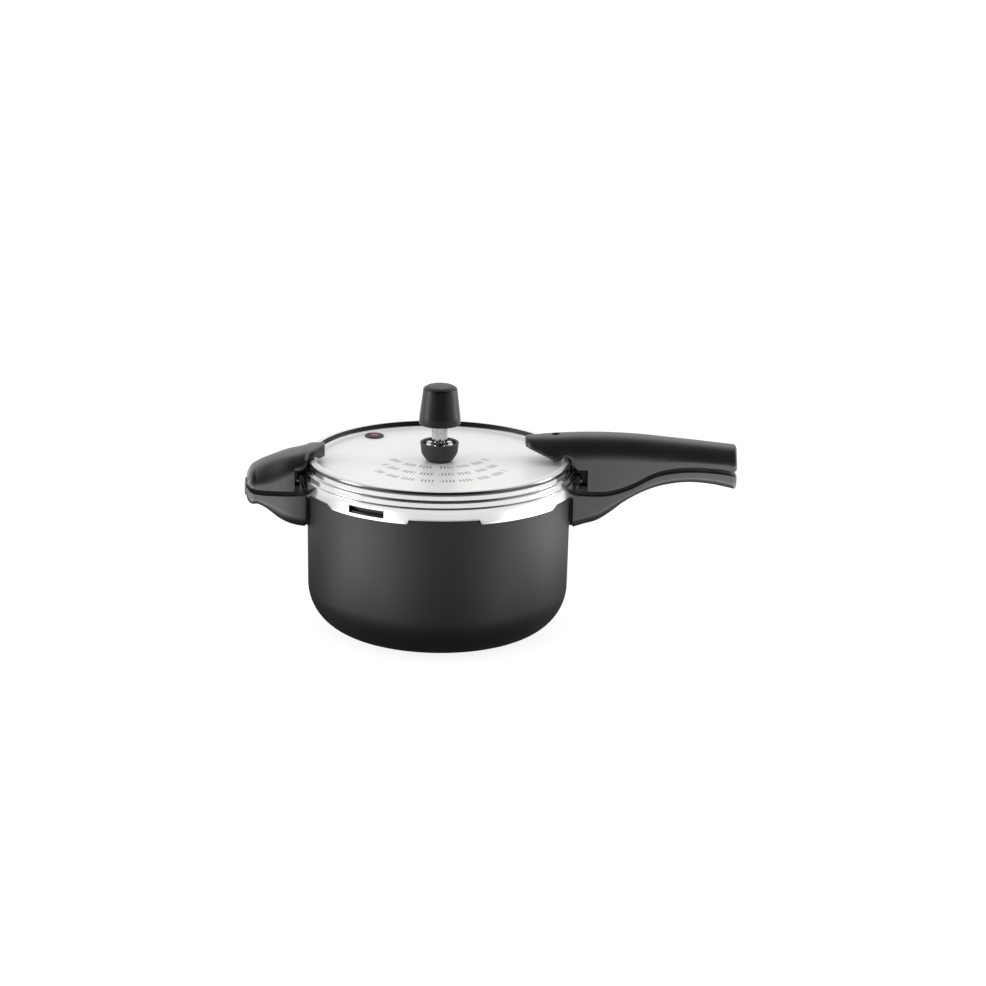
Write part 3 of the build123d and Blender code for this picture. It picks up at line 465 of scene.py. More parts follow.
@dataclass(frozen=True)
class Moulding:
    """Moulded plastic or rubber: eroded grain in relief, cloudy sheen and slightly rubbed tone."""

    name: str
    colour: Colour
    rubbed: Colour
    roughness: float
    grain: float = 0.55
    depth: float = 0.02
    specular: float = 0.5
    ior: float = 1.5

    def material(self) -> Material:
        """Builds the finish.

        Returns:
            The finish as a material.
        """
        material, kit = blank(self.name)
        place = kit.place()
        grain = kit.noise(place, self.grain, 3)
        cloud = kit.noise(place, 24, 4)
        kit.surface({
            "Base Color": kit.blend(cloud * 0.7 + grain * 0.3, self.colour, self.rubbed),
            "Roughness": self.roughness - 0.08 + cloud * 0.1 + grain * 0.06,
            "Specular IOR Level": self.specular,
            "IOR": self.ior,
            "Normal": kit.relief(grain, self.depth),
        })
        return material


@dataclass(frozen=True)
class Plating:
    """Bright or satin metal: fine scratches one way, cloudy roughness and faint tarnish."""

    name: str
    colour: Colour
    dull: Colour
    roughness: float
    scratch: tuple[float, float, float] = (1, 1, 0.08)
    depth: float = 0.004

    def material(self) -> Material:
        """Builds the finish.

        Returns:
            The finish as a material.
        """
        material, kit = blank(self.name)
        place = kit.place()
        lines = kit.noise(kit.scaled(place, self.scratch), 0.35, 3)
        cloud = kit.noise(place, 5, 3)
        kit.surface({
            "Base Color": kit.blend(cloud.step(0.45, 0.8), self.colour, self.dull),
            "Metallic": 1.0,
            "Roughness": self.roughness + (cloud - 0.5) * 0.08 + (lines - 0.5) * 0.06,
            "Normal": kit.relief(lines, self.depth),
        })
        return material


@dataclass(frozen=True)
class PotCoating:
    """Hard charcoal coating: pressed grain on the walls, turned rings on the flat base."""

    colour: Colour = (0.006, 0.006, 0.0066)
    speck: Colour = (0.012, 0.012, 0.013)
    bare: Colour = (0.10, 0.10, 0.105)
    roughness: float = 0.46
    base_r: float = 70.0

    def material(self) -> Material:
        """Builds the finish.

        Returns:
            The finish as a material.
        """
        material, kit = blank("pot_coating_satin")
        place = kit.place()
        x, y, z = kit.parts(place)
        radius = kit.distance(x, y)
        grain = kit.noise(place, 0.6, 3)
        cloud = kit.noise(place, 40, 3)
        rings = kit.maths("SINE", radius * 5.2) * 0.5 + 0.5
        base = z.step(0.5, 0.2) * radius.step(self.base_r + 1, self.base_r - 1)
        coat = kit.blend(grain.step(0.5, 0.75), self.colour, self.speck)
        kit.surface({
            "Base Color": kit.blend(base * 0.8, coat, self.bare),
            "Roughness": self.roughness - 0.05 + cloud * 0.08 + grain * 0.04,
            "Normal": kit.relief(grain * (1 - base) + rings * base * 2, 0.02),
        })
        return material


@dataclass(frozen=True)
class SpunAluminium:
    """Spun lid: satin deck with fine concentric lines, brighter shoulder, painted dark reflection lines on
    the bead's slope and outer turn, arcs of strokes.

    Attributes:
        arc_values: for centre's depth, radius, half angle in degrees, strokes and words, the rear arc's
            value and what each further arc adds to it.
    """

    colour: Colour = (0.86, 0.86, 0.85)
    shade: Colour = (0.80, 0.80, 0.79)
    rim: Colour = (0.60, 0.60, 0.595)
    # painted shade: near-black colour laid on the bead's inner slope and outer turn, standing for the dark
    # reflection seen there
    painted_shade: Colour = (0.03, 0.03, 0.03)
    print_tone: Colour = (0.20, 0.20, 0.20)
    deck_roughness: float = 0.40
    rim_roughness: float = 0.16
    arc_rows: int = 3
    arc_width: float = 3.4
    arc_values: Knots = ((21, -11.5), (42, 8.5), (68, -3), (92, 19), (17, 3))

    def arcs(self, kit: NodeKit, x: Signal, y: Signal) -> Signal:
        """Arcs of short even strokes in front of the valve.

        A stroke is a peak of one sine of the angle about the arc's centre, and a gap between words is
        a trough of a slower one.

        Args:
            x: place along the handles in millimetres.
            y: place across them.

        Returns:
            1 on a stroke and 0 beside it.
        """
        marks = None
        for row in range(self.arc_rows):
            centre, middle, reach, strokes, words = (first + more * row for first, more in self.arc_values)
            off = y - centre
            turn = kit.maths("ARCTAN2", x, off * -1)
            band = kit.distance(x, off).line(middle, self.arc_width, 0.9)
            inside = kit.maths("ABSOLUTE", turn).step(radians(reach), radians(reach) - 0.01)
            stroke = kit.maths("SINE", turn * strokes).step(0.1, 0.4)
            word = kit.maths("SINE", turn * words).step(-0.75, -0.6)
            mark = band * inside * stroke * word
            marks = mark if marks is None else kit.maths("MAXIMUM", marks, mark)
        return marks

    def material(self) -> Material:
        """Builds the finish.

        Returns:
            The finish as a material.
        """
        material, kit = blank("lid_aluminium_spun")
        place = kit.place()
        x, y, z = kit.parts(place)
        radius = kit.distance(x, y)
        turn = kit.maths("ARCTAN2", y, x)
        polar = kit.node("ShaderNodeCombineXYZ", {}, {0: radius * MM, 1: turn * 0.004, 2: z * 0.0002})
        lines = kit.noise(polar.outputs[0], 0.30, 3)
        cloud = kit.noise(place, 30, 3)
        deck = radius.step(SKIRT_R - 5.6, SKIRT_R - 7.0)
        marks = self.arcs(kit, x, y) * z.step(DECK - 1, DECK - 0.6)
        metal = kit.blend(cloud * 0.6 + lines * 0.4, self.colour, self.shade)
        flat = radius.step(SKIRT_R - 11.2, SKIRT_R - 12.2)
        # painted dark reflection: the bead's inner slope above the deck is painted near black
        wall = radius.line(SKIRT_R - 10.8, 1.1) * z.step(DECK + 0.8, DECK + 1.8)
        # painted shade: a thinner dark line painted on the bead's outer turn
        turn_down_shade = radius.line(SKIRT_R - 5.0, 0.9, 0.6) * z.line(DECK + 2.6, 1.7) * 0.9
        rimmed = kit.blend(radius.step(SKIRT_R - 8.5, SKIRT_R - 7.5), metal, self.rim)
        shade_painted = kit.blend(kit.maths("MAXIMUM", wall, turn_down_shade), rimmed, self.painted_shade)
        kit.surface({
            "Base Color": kit.blend(marks, shade_painted, self.print_tone),
            "Metallic": 1 - flat * 0.8 - marks * 0.2,
            "Roughness": self.rim_roughness + deck * (self.deck_roughness - self.rim_roughness)
            + (lines - 0.5) * 0.06 + (cloud - 0.5) * 0.03 + marks * 0.2,
            "Normal": kit.relief(lines, 0.002),
        })
        return material


# ---------------------------------------------------------------- pot
def blended(first: Array, second: Array, share: Array) -> Array:
    """Outlines between two others of equal length, one for each share of the second."""
    return first[:, None, :] * (1 - share[:, None]) + second[:, None, :] * share[:, None]


def lug_angles(width: float, ramps: tuple[float, ...]) -> Array:
    """Column angles: even ones and a few through each end of each lug.

    Args:
        width: angle of a lug's foot.
        ramps: angles over which a lug's ends slope.

    Returns:
        Rising angles in radians.
    """
    even = np.linspace(0, 360, 240, endpoint=False)
    shares = np.linspace(0, 1, 5)
    ends = [centre + side * (width / 2 + share * ramp)
            for centre in LUG_TURNS for side in (-1, 1) for ramp in ramps for share in shares]
    return np.radians(np.unique(np.round(np.concatenate([even, np.mod(ends, 360)]), 3)))


def lug_share(angles: Array, width: float, long_ramp: float, steep_ramp: float) -> Array:
    """How far each angle is inside a lug: 1 over the lug, falling along a ramp past each end.

    The long ramp lies on the side of the nearer handle.

    Args:
        angles: the angles in radians.
        width: angle of a lug's foot in degrees.
        long_ramp: angle over which a lug slopes towards the nearer handle, and both ways beside one.
        steep_ramp: angle over which its other end slopes.

    Returns:
        A share for each angle.
    """
    share = np.zeros_like(angles)
    for centre in LUG_TURNS:
        off = np.degrees(np.angle(np.exp(1j * (angles - radians(centre)))))
        handle_side = np.sign(np.sin(radians(2 * centre))) * -1
        beside = abs(np.cos(radians(centre))) > 0.9
        ramp = np.where((np.sign(off) == handle_side) | beside, long_ramp, steep_ramp)
        share = np.maximum(share, np.clip(1 - (np.abs(off) - width / 2) / ramp, 0, 1))
    return share


@dataclass
class Pot:
    """Drawn pot: drafted wall, large bend, rolled rim and six lugs under it."""

    draft: float = 0.74
    wall: float = 2.5
    base: float = 3.2
    bend: float = 38.0
    lug_width: float = 16.0
    lug_ramp: float = 0.8
    lug_reach: float = 3.2
    lug_top: float = 6.4
    lug_thick: float = 2.8

    def radius(self, height: float) -> float:
        """Outside radius of the wall at a height."""
        rim_r = float(span("pot_body")[1][1])
        return rim_r - (RIM - height) * tan(radians(self.draft))

    def outline(self, lug: bool) -> Array:
        """The closed outline through a lug, or through the plain wall between lugs.

        Args:
            lug: True for the line through a lug.

        Returns:
            Points from the axis below, over the rim, to the axis inside; equally many for both lines.
        """
        rim_r = self.radius(RIM)
        reach = self.lug_reach if lug else HAIR
        top = RIM - self.lug_top
        foot = top - self.lug_thick
        inner = self.bend - self.wall
        low = self.radius(0)
        corners = [
            (0, 0, 0),
            (low, 0, self.bend),
            (self.radius(foot - 1), foot - 1, 0.01),
            (self.radius(foot), foot, 0.15),
            (rim_r + reach, foot, 0.5 if lug else 0.01),
            (rim_r + reach, top, 0.5 if lug else 0.01),
            (rim_r, top, 0.15),
            (rim_r, RIM, 0.9),
            (rim_r - self.wall, RIM, 0.9),
            (low - self.wall + 0.5, self.base, inner),
            (0, self.base, 0),
        ]
        steps = [1, 18, 1, 1, 2, 2, 1, 4, 4, 18, 1]
        pieces = [rounded([corners[i - 1], corners[i], corners[i + 1]], steps[i])[1:-1]
                  for i in range(1, len(corners) - 1)]
        return np.concatenate([[corners[0][:2]], *pieces, [corners[-1][:2]]])

    def build(self, coating: Material) -> None:
        """Makes the pot's body.

        Args:
            coating: its finish.
        """
        angles = lug_angles(self.lug_width, (self.lug_ramp,))
        share = lug_share(angles, self.lug_width, self.lug_ramp, self.lug_ramp)
        body = lathe(blended(self.outline(False), self.outline(True), share), angles)
        new_piece("pot_wall", [body], coating, Body.POT, "pot_body")


# ---------------------------------------------------------------- lid
@dataclass
class Lid:
    """Pressed lid: flat deck, round bead, two steps, skirt with lugs and the gasket's window."""

    thick: float = 1.5
    lug_width: float = 36.4
    lug_drop: float = 11.1
    gap_drop: float = 7.0
    lip_in: float = 4.7
    lip: float = 1.5
    steep_ramp: float = 0.8
    long_ramp: float = 3.0
    lip_ramp: float = 0.2
    window_width: float = 16.6
    window_top: float = -1.55
    window_foot: float = -7.75
    gap_rise: float = 2.4

    def outside(self) -> list[Corner]:
        """Corners of the outer line from the axis over the bead and steps to the top of the skirt.

        Returns:
            The corners, from the axis outwards.
        """
        steps = [(-11.2, 0, 3.0), (-10.4, 5.6, 1.2), (-4.9, 4.7, 2.2), (-4.6, -2.5, 0.5), (-1.9, -3.1, 0.7),
                 (-1.7, -7.7, 0.3), (0, -8.1, 0.6)]
        return [(0, DECK, 0), *moved(steps, SKIRT_R, DECK)]

    def inside(self) -> list[Corner]:
        """Corners of the inner line from the skirt back to the axis.

        Returns:
            The corners, from the skirt inwards.
        """
        t = self.thick
        steps = [(-t, -9.2, 0.3), (-3.1, -8.8, 0.3), (-3.4, -4.4, 0.3), (-6.1, -3.9, 0.3), (-6.4, 3.4, 0.8),
                 (-9.1, 3.9, 0.5), (-9.8, -t, 1.0)]
        return [*moved(steps, SKIRT_R, DECK), (0, DECK - t, 0)]

    def foot(self, lug: bool) -> list[Corner]:
        """Corners round the skirt's foot, with the lip of a lug or without.

        Args:
            lug: True for the foot of a lug.

        Returns:
            The corners, from outside to inside.
        """
        inner, tip = -self.thick, -self.lip_in
        if lug:
            lip = [(0, 0, 1.2), (tip, 0, 0.2), (tip, self.lip, 0.2), (inner, self.lip, 0.1)]
            return moved(lip, SKIRT_R, RIM - self.lug_drop)
        return moved([(0, 0, 0.4), (inner, 0, 0.3), (inner, 0.7, 0.05), (inner, 1.0, 0.05)],
                     SKIRT_R, RIM - self.gap_drop)

    def outline(self, lug: bool) -> Array:
        """The closed outline through a lug or through a gap, with the window's edges as single points.

        Args:
            lug: True for the line through a lug.

        Returns:
            Points from the axis above to the axis below; equally many for both lines.
        """
        t = self.thick
        rise = 0.0 if lug else self.gap_rise
        outer = rounded([*self.outside(), (SKIRT_R, RIM + self.window_top, 0)])[:-1]
        inner = rounded([(SKIRT_R - t, RIM + self.window_top, 0), *self.inside()])[1:]
        foot = rounded([(SKIRT_R, RIM, 0), *self.foot(lug), (SKIRT_R - t, RIM, 0)])[1:-1]
        upper = RIM + self.window_top
        lower = RIM + self.window_foot + rise
        return np.concatenate([
            supported(outer),
            [(SKIRT_R, upper)], [(SKIRT_R, lower)],
            foot,
            [(SKIRT_R - t, lower)], [(SKIRT_R - t, upper)],
            supported(inner),
        ])

    def build(self, metal: Material) -> None:
        """Makes the lid's shell; a lug's lip ends straight, so that it passes under the pot's lugs.

        Args:
            metal: its finish.
        """
        lug, gap = self.outline(True), self.outline(False)
        middle = 180 + SIDE_LUG
        edges = [middle - self.window_width / 2, middle + self.window_width / 2]
        angles = lug_angles(self.lug_width, (self.steep_ramp, self.long_ramp))
        angles = np.unique(np.concatenate([angles, np.radians(edges)]))
        share = lug_share(angles, self.lug_width, self.long_ramp, self.steep_ramp)
        at = [int(np.argmin(np.abs(angles - radians(edge)))) for edge in edges]
        on_outer = np.nonzero(np.isclose(lug[:, 0], SKIRT_R))[0]
        on_inner = np.nonzero(np.isclose(lug[:, 0], SKIRT_R - self.thick))[0]
        upper, lower = (RIM + self.window_top, RIM + self.window_foot)
        edge_rows = ((on_outer, upper), (on_outer, lower), (on_inner, lower), (on_inner, upper))
        rows = [int(group[np.argmin(np.abs(lug[group, 1] - height))]) for group, height in edge_rows]
        shape = blended(gap, lug, share)
        hooked = lug[:, 0] < SKIRT_R - self.thick - HAIR / 2
        lips = lug_share(angles, self.lug_width, self.lip_ramp, self.lip_ramp)
        shape[hooked, :, 0] = blended(gap, lug, lips)[hooked, :, 0]
        shell = lathe(shape, angles)
        shell.window = (*rows, *at)
        new_piece("lid_pressing", [shell], metal, Body.LID, "lid_shell")


@dataclass
class Gasket:
    """Soft sealing ring: broad body with a thin lip."""

    body: float = 8.0
    height: float = 6.4
    lip: float = 4.0
    lip_thick: float = 1.8
    lip_drop: float = 3.4
    seat: float = 0.4
    flank: float = 1.7

    def build(self, silicone: Material) -> None:
        """Makes the ring as a closed outline turned round.

        Args:
            silicone: its finish.
        """
        outer = reach_of("gasket")
        foot = RIM + self.seat
        top = foot + self.height
        inner = outer - self.body
        start = (outer, foot + 1, 0)
        outline = rounded([
            start,
            (outer, RIM + self.flank, 0.6),
            (outer - self.body / 2, top, 1.0),
            (inner, top, 0.8),
            (inner - self.lip, foot - self.lip_drop + self.lip_thick, 0.6),
            (inner - self.lip, foot - self.lip_drop, 0.6),
            (inner, foot, 0.8),
            (outer, foot, 0.6),
            start,
        ])[:-1]
        new_piece("gasket_ring", [lathe(outline, 160, ring=True)], silicone, Body.LID, "gasket")


# ---------------------------------------------------------------- vent, weight and indicator
@dataclass
class SteamVent:
    """Cup round the vent's foot and the ported ring that holds it down."""

    height: float = 16.0
    floor: float = 4.0
    wall: float = 2.2
    ring_r: float = 11.6
    ring_bore: float = 7.6
    ring_top: float = 15.2
    ports: int = 8

    def cup(self) -> Sheet:
        """The bowl: a curved wall from foot to lip, hollow above its floor.

        Returns:
            The closed surface.
        """
        reach = reach_of("vent_cup")
        outline = rounded(moved([
            (0, HAIR, 0), (10.4, HAIR, 3.0), (15.0, 6.8, 8.0), (reach - 0.5, 12.6, 4.0),
            (reach, self.height, 0.5), (reach - self.wall, self.height, 0.7),
            (self.ring_r + 0.4, self.floor, 0.8), (0, self.floor, 0),
        ], 0, DECK))
        return lathe(supported(outline), 112)

    def ring(self) -> Sheet:
        """The ring: a turned outline whose crown dips at each port by a step of the angle's cosine.

        Returns:
            The closed surface.
        """
        foot, top = DECK + self.floor + HAIR, DECK + self.ring_top
        outline = rounded([
            (0, foot, 0), (self.ring_r, foot, 0.3), (self.ring_r, top, 1.0), (self.ring_bore, top, 0.8),
            (self.ring_bore, foot + 2.2, 0.3), (0, foot + 2.2, 0),
        ], 6)
        angles = np.linspace(0, 2 * np.pi, 160, endpoint=False)
        port = eased(np.cos(self.ports * angles), 0.35, 0.62)
        dip = np.clip(outline[:, 1] - (top - 3.4), 0, None)[:, None] * port
        points = np.repeat(outline[:, None, :], len(angles), axis=1)
        points[..., 1] -= dip
        return lathe(points, angles)

    def build(self, moulding: Material, chrome: Material) -> None:
        """Makes the cup and its ring."""
        new_piece("spray_cup", [self.cup()], moulding, Body.LID, "vent_cup")
        new_piece("port_ring", [self.ring()], chrome, Body.LID, "vent_ring")


@dataclass
class Weight:
    """Moulded cap over the core, and the fluted sleeve below it."""

    foot: float = 31.8
    height: float = 32.7
    shoulder_r: float = 14.1
    wall: float = 2.6
    roof: float = 5.5
    core_r: float = 10.97
    core: float = 20.0
    sleeve_r: float = 6.6
    sleeve_foot: float = 15.8
    collar_r: float = 8.6
    collar: float = 3.0
    flutes: int = 8
    flute_depth: float = 1.1

    def cap(self) -> Sheet:
        """The tapered cap: flank, round shoulder, slight dome, and the hollow from below.

        Returns:
            The closed surface.
        """
        low, top = DECK + self.foot, DECK + self.foot + self.height
        wide = reach_of("weight_cap")
        outline = rounded([
            (0, top, 0), (self.shoulder_r - 3.4, top - 0.5, 6.0), (self.shoulder_r - 0.1, top - 2.6, 2.2),
            (wide - 0.2, low + 6.0, 20.0), (wide, low, 0.6), (wide - self.wall, low, 0.6),
            (self.core_r, top - self.roof - self.core, 1.5), (self.core_r, top - self.roof, 0.3),
            (0, top - self.roof, 0),
        ], 6)
        return lathe(supported(outline), 128)

    def sleeve(self) -> Sheet:
        """The sleeve: its radius dips in each flute by a smooth step of the angle's cosine.

        Returns:
            The closed surface.
        """
        low, top = DECK + self.sleeve_foot, DECK + self.foot + self.height - self.roof - self.core
        neck = top - self.collar
        outline = supported(rounded([
            (0, low, 0), (self.sleeve_r, low, 0.5), (self.sleeve_r, neck, 0.3),
            (self.collar_r, neck, 0.5), (self.collar_r, top, 0.5), (0, top, 0),
        ]))
        angles = np.linspace(0, 2 * np.pi, 160, endpoint=False)
        dip = eased(np.cos(self.flutes * angles), 0.0, 0.9) * self.flute_depth
        fluted = (outline[:, 0] > 4) & (outline[:, 1] < neck - 1.0)
        points = np.repeat(outline[:, None, :], len(angles), axis=1)
        points[..., 0] -= dip * fluted[:, None]
        return lathe(points, angles)

    def build(self, moulding: Material, chrome: Material) -> None:
        """Makes the cap and the sleeve."""
        new_piece("weight_knob", [self.cap()], moulding, Body.WEIGHT, "weight_cap")
        new_piece("fluted_sleeve", [self.sleeve()], chrome, Body.WEIGHT, "weight_sleeve")


@dataclass
class Indicator:
    """Grommet in the deck and the pin that pressure lifts through it."""

    deck: float = 1.5
    head: float = 1.3
    foot: float = 2.6
    foot_step: float = 1.2
    neck: float = 5.45
    seat_r: float = 4.55
    seat: float = 0.5
    bore: float = 3.1
    pin_r: float = 4.4
    pin_shaft: float = 2.9
    stop_r: float = 4.2
    pin_head: float = 1.0
    pin_gap: float = 0.15
    stop_height: float = 1.5

    def build(self, rubber: Material, red: Material) -> None:
        """Makes the grommet and the pin.

        Args:
            rubber: finish of the grommet.
            red: finish of the pin.
        """
        low, high = span("indicator_grommet")
        centre = tuple((low + high)[:2] / 2)
        wide = (high - low)[0] / 2
        narrow = wide - self.foot_step
        under = -self.deck
        foot = under - self.foot
        start = (wide, 0.5, 0)
        grommet = rounded(moved([
            start, (wide, self.head, 0.6), (self.seat_r, self.head, 0.4), (self.seat_r, self.seat, 0.2),
            (self.bore, self.seat, 0.1), (self.bore, foot, 0.1), (narrow, foot, 0.8),
            (narrow, under, 0.3), (self.neck, under, 0.1), (self.neck, HAIR, 0.1), (wide, HAIR, 0.4), start,
        ], 0, DECK))[:-1]
        seat = DECK + self.seat + self.pin_gap
        top = seat + self.pin_head
        low = float(span("indicator_pin")[0][2])
        stop = low + self.stop_height
        pin = rounded([
            (0, top, 0), (self.pin_r, top, 1.2), (self.pin_r, seat, 0.2), (self.pin_shaft, seat, 0.1),
            (self.pin_shaft, stop, 0.1), (self.stop_r, stop, 0.3), (self.stop_r, low, 0.3), (0, low, 0),
        ])
        new_piece("indicator_seat", [lathe(grommet, 72, centre, ring=True)], rubber, Body.LID,
                  "indicator_grommet")
        new_piece("indicator_button", [lathe(supported(pin), 72, centre)], red, Body.INDICATOR,
                  "indicator_pin")


# ---------------------------------------------------------------- handles
RUN = np.array([0.0, 0.06, 0.25, 0.5, 0.75, 0.94])        # shares of a straight run of a section
ARC = np.linspace(0, np.pi / 2, 9)[:-1]                   # angles round a section's corner
TOP = np.array([3.9, 3.6, 3.45, 3.3, 2.4, 1.2, 0.0])      # distances from the middle of a section's top
TOP_HALF = 5.2                                            # half a top that is wide enough for them
SHOULDER = np.array([0, 0.08, 0.5])                       # shares of the way from a corner to them
END_TURN = np.linspace(0, np.pi / 2, 6)[1:, None]         # angles round the edge of a handle's end
END_FACE = np.array([0.7, 0.35, 0.0])[:, None]            # sizes of the rings on the end itself
RECESS_EASE = (3.7, 5.0)                                  # where a recess's circles turn square again
RECESS_SLOPE = 0.12                                       # half the width of a recess's wall
CAMBER_RISE = 12.0                                        # height above the foot at which camber is full
PART_GAP = 3.0                                            # between a handle's halves


@dataclass
class Section:
    """Rounded cross-sections of a handle along its length, as arrays by station.

    Attributes:
        half: half width.
        top: height of the crown's middle.
        foot: height of the underside.
        crown_r: radius of the upper corners.
        foot_r: radius of the lower corners.
        camber: how far the crown falls from its middle to its sides, everywhere or by station.
        lean: how much narrower the flanks are at the top, on each side.
    """

    half: Array
    top: Array
    foot: Array
    crown_r: Array
    foot_r: Array
    camber: Array | float = 0.0
    lean: float = 0.8

    def loop(self) -> tuple[Array, Array]:
        """Across and up of the closed section at each station, from the foot's middle round both flanks.

        Returns:
            The places across and up, as stations by points.
        """
        widths = (self.half, self.top, self.foot, self.crown_r, self.foot_r)
        w, t, b, rt, rb = (value[:, None] for value in widths)
        inner = np.minimum(1, (w - rt) / TOP_HALF) * TOP
        outer = (w - rt) - (w - rt - inner[:, :1]) * SHOULDER
        sine, cosine = np.sin(ARC), np.cos(ARC)
        across = np.concatenate([(w - rb) * RUN, (w - rb) + rb * sine, w + 0 * RUN, (w - rt) + rt * cosine,
                                 outer, inner], axis=1)
        up = np.concatenate([b + 0 * RUN, b + rb * (1 - cosine), (b + rb) + (t - rt - b - rb) * RUN,
                             (t - rt) + rt * sine, t + 0 * outer, t + 0 * inner], axis=1)
        fall = np.reshape(self.camber, (-1, 1)) * (across / w) ** 2
        up = up - fall * np.clip((up - b) / CAMBER_RISE, 0, 1)
        across = across * (1 - self.lean / w * (up - b.min()) / (t.max() - b.min()))
        mirror = slice(-2, 0, -1)
        across = np.concatenate([across, -across[:, mirror]], axis=1)
        return across, np.concatenate([up, up[:, mirror]], axis=1)


def loft(along: Array, section: Section, side: int, end_round: tuple[float, float],
         bulge: tuple[float, float]) -> Sheet:
    """A handle half: sections carried along X, closed by rounded and slightly bulged ends.

    At an end the section shrinks by r (1 - cos t) while it moves out by r sin t, and then closes to a
    point through a shallow bulge.

    Args:
        along: places of the stations.
        section: their cross-sections.
        side: 1 for a handle on +X, -1 for one on -X.
        end_round: radii of the two ends' edges.
        bulge: how far the two end faces stand out in their middle.

    Returns:
        The closed surface.
    """
    across, up = section.loop()
    middle = (up.max(axis=1, keepdims=True) + up.min(axis=1, keepdims=True)) / 2
    reach = np.minimum(section.half, (section.top - section.foot) / 2)[:, None]
    rows_x, rows_y, rows_z = [along[:, None] + 0 * across], [across], [up]
    for end, direction, radius, swell in ((0, -1, end_round[0], bulge[0]), (-1, 1, end_round[1], bulge[1])):
        shrink = 1 - radius * (1 - np.cos(END_TURN)) / reach[end]
        face = END_FACE * shrink[-1]
        scale = np.concatenate([shrink, face])
        out = np.concatenate([radius * np.sin(END_TURN), radius + swell * (1 - (face / shrink[-1]) ** 2)])
        x = along[end] + direction * out + 0 * across[end]
        y = across[end] * scale
        z = middle[end] + (up[end] - middle[end]) * scale
        order = slice(None, None, -1) if end == 0 else slice(None)
        place = 0 if end == 0 else len(rows_x)
        rows_x.insert(place, x[order])
        rows_y.insert(place, y[order])
        rows_z.insert(place, z[order])
    x, y, z = (np.concatenate(rows) for rows in (rows_x, rows_y, rows_z))
    return Sheet(np.stack([x * side, y, z], axis=2))


def recessed(sheet: Sheet, at: float, radius: float, depth: float, above: float) -> None:
    """Sinks a round screw recess into a crown.

    Square rings of the grid round the place become circles, by scaling each point by its larger
    offset over its distance, and those within the radius sink by the depth.

    Args:
        sheet: the handle half.
        at: where the recess is on X.
        radius: the recess's radius.
        depth: how deep it is.
        above: only points above this height take part.
    """
    x, y, z = sheet.points[..., 0], sheet.points[..., 1], sheet.points[..., 2]
    square = np.maximum(np.abs(x - at), np.abs(y))
    distance = np.maximum(np.hypot(x - at, y), 1e-6)
    pull = (1 - eased(square, *RECESS_EASE)) * (z > above)
    scale = 1 - pull + pull * square / distance
    sheet.points[..., 0] = at + (x - at) * scale
    sheet.points[..., 1] = y * scale
    sunk = 1 - eased(square, radius - RECESS_SLOPE, radius + RECESS_SLOPE)
    sheet.points[..., 2] = z - depth * sunk * (z > above)


def block(low: Corner, high: Corner, edge: float) -> Sheet:
    """A box with rounded edges: rounded squares stacked up, closed above and below.

    Args:
        low: its lowest corner.
        high: its highest corner.
        edge: radius of its edges.

    Returns:
        The closed surface.
    """
    half = (np.array(high) - low) / 2
    centre = (np.array(high) + low) / 2
    turn = np.linspace(0, 2 * np.pi, 32, endpoint=False)
    far = half.max()
    inset = np.array([far, edge, edge * 0.3, 0, 0, edge * 0.3, edge, far])[:, None]
    side = np.array([-1, -1, -1, -1, 1, 1, 1, 1])[:, None]
    level = side * (half[2] - np.array([0, 0, 0.3, 1, 1, 0.3, 0, 0])[:, None] * edge)
    arc = edge * (inset < far) * (inset < edge + 1)
    x, y = (np.clip(np.sign(wave) * np.maximum(size - inset, 0) + arc * wave, -size, size)
            for wave, size in ((np.cos(turn), half[0]), (np.sin(turn), half[1])))
    return Sheet(np.stack([centre[0] + x, centre[1] + y, centre[2] + level + 0 * x], axis=2))


def quarter(share: Array) -> Array:
    """How far a quarter circle of radius 1 falls at a share of that radius."""
    return 1 - np.sqrt(1 - share ** 2)


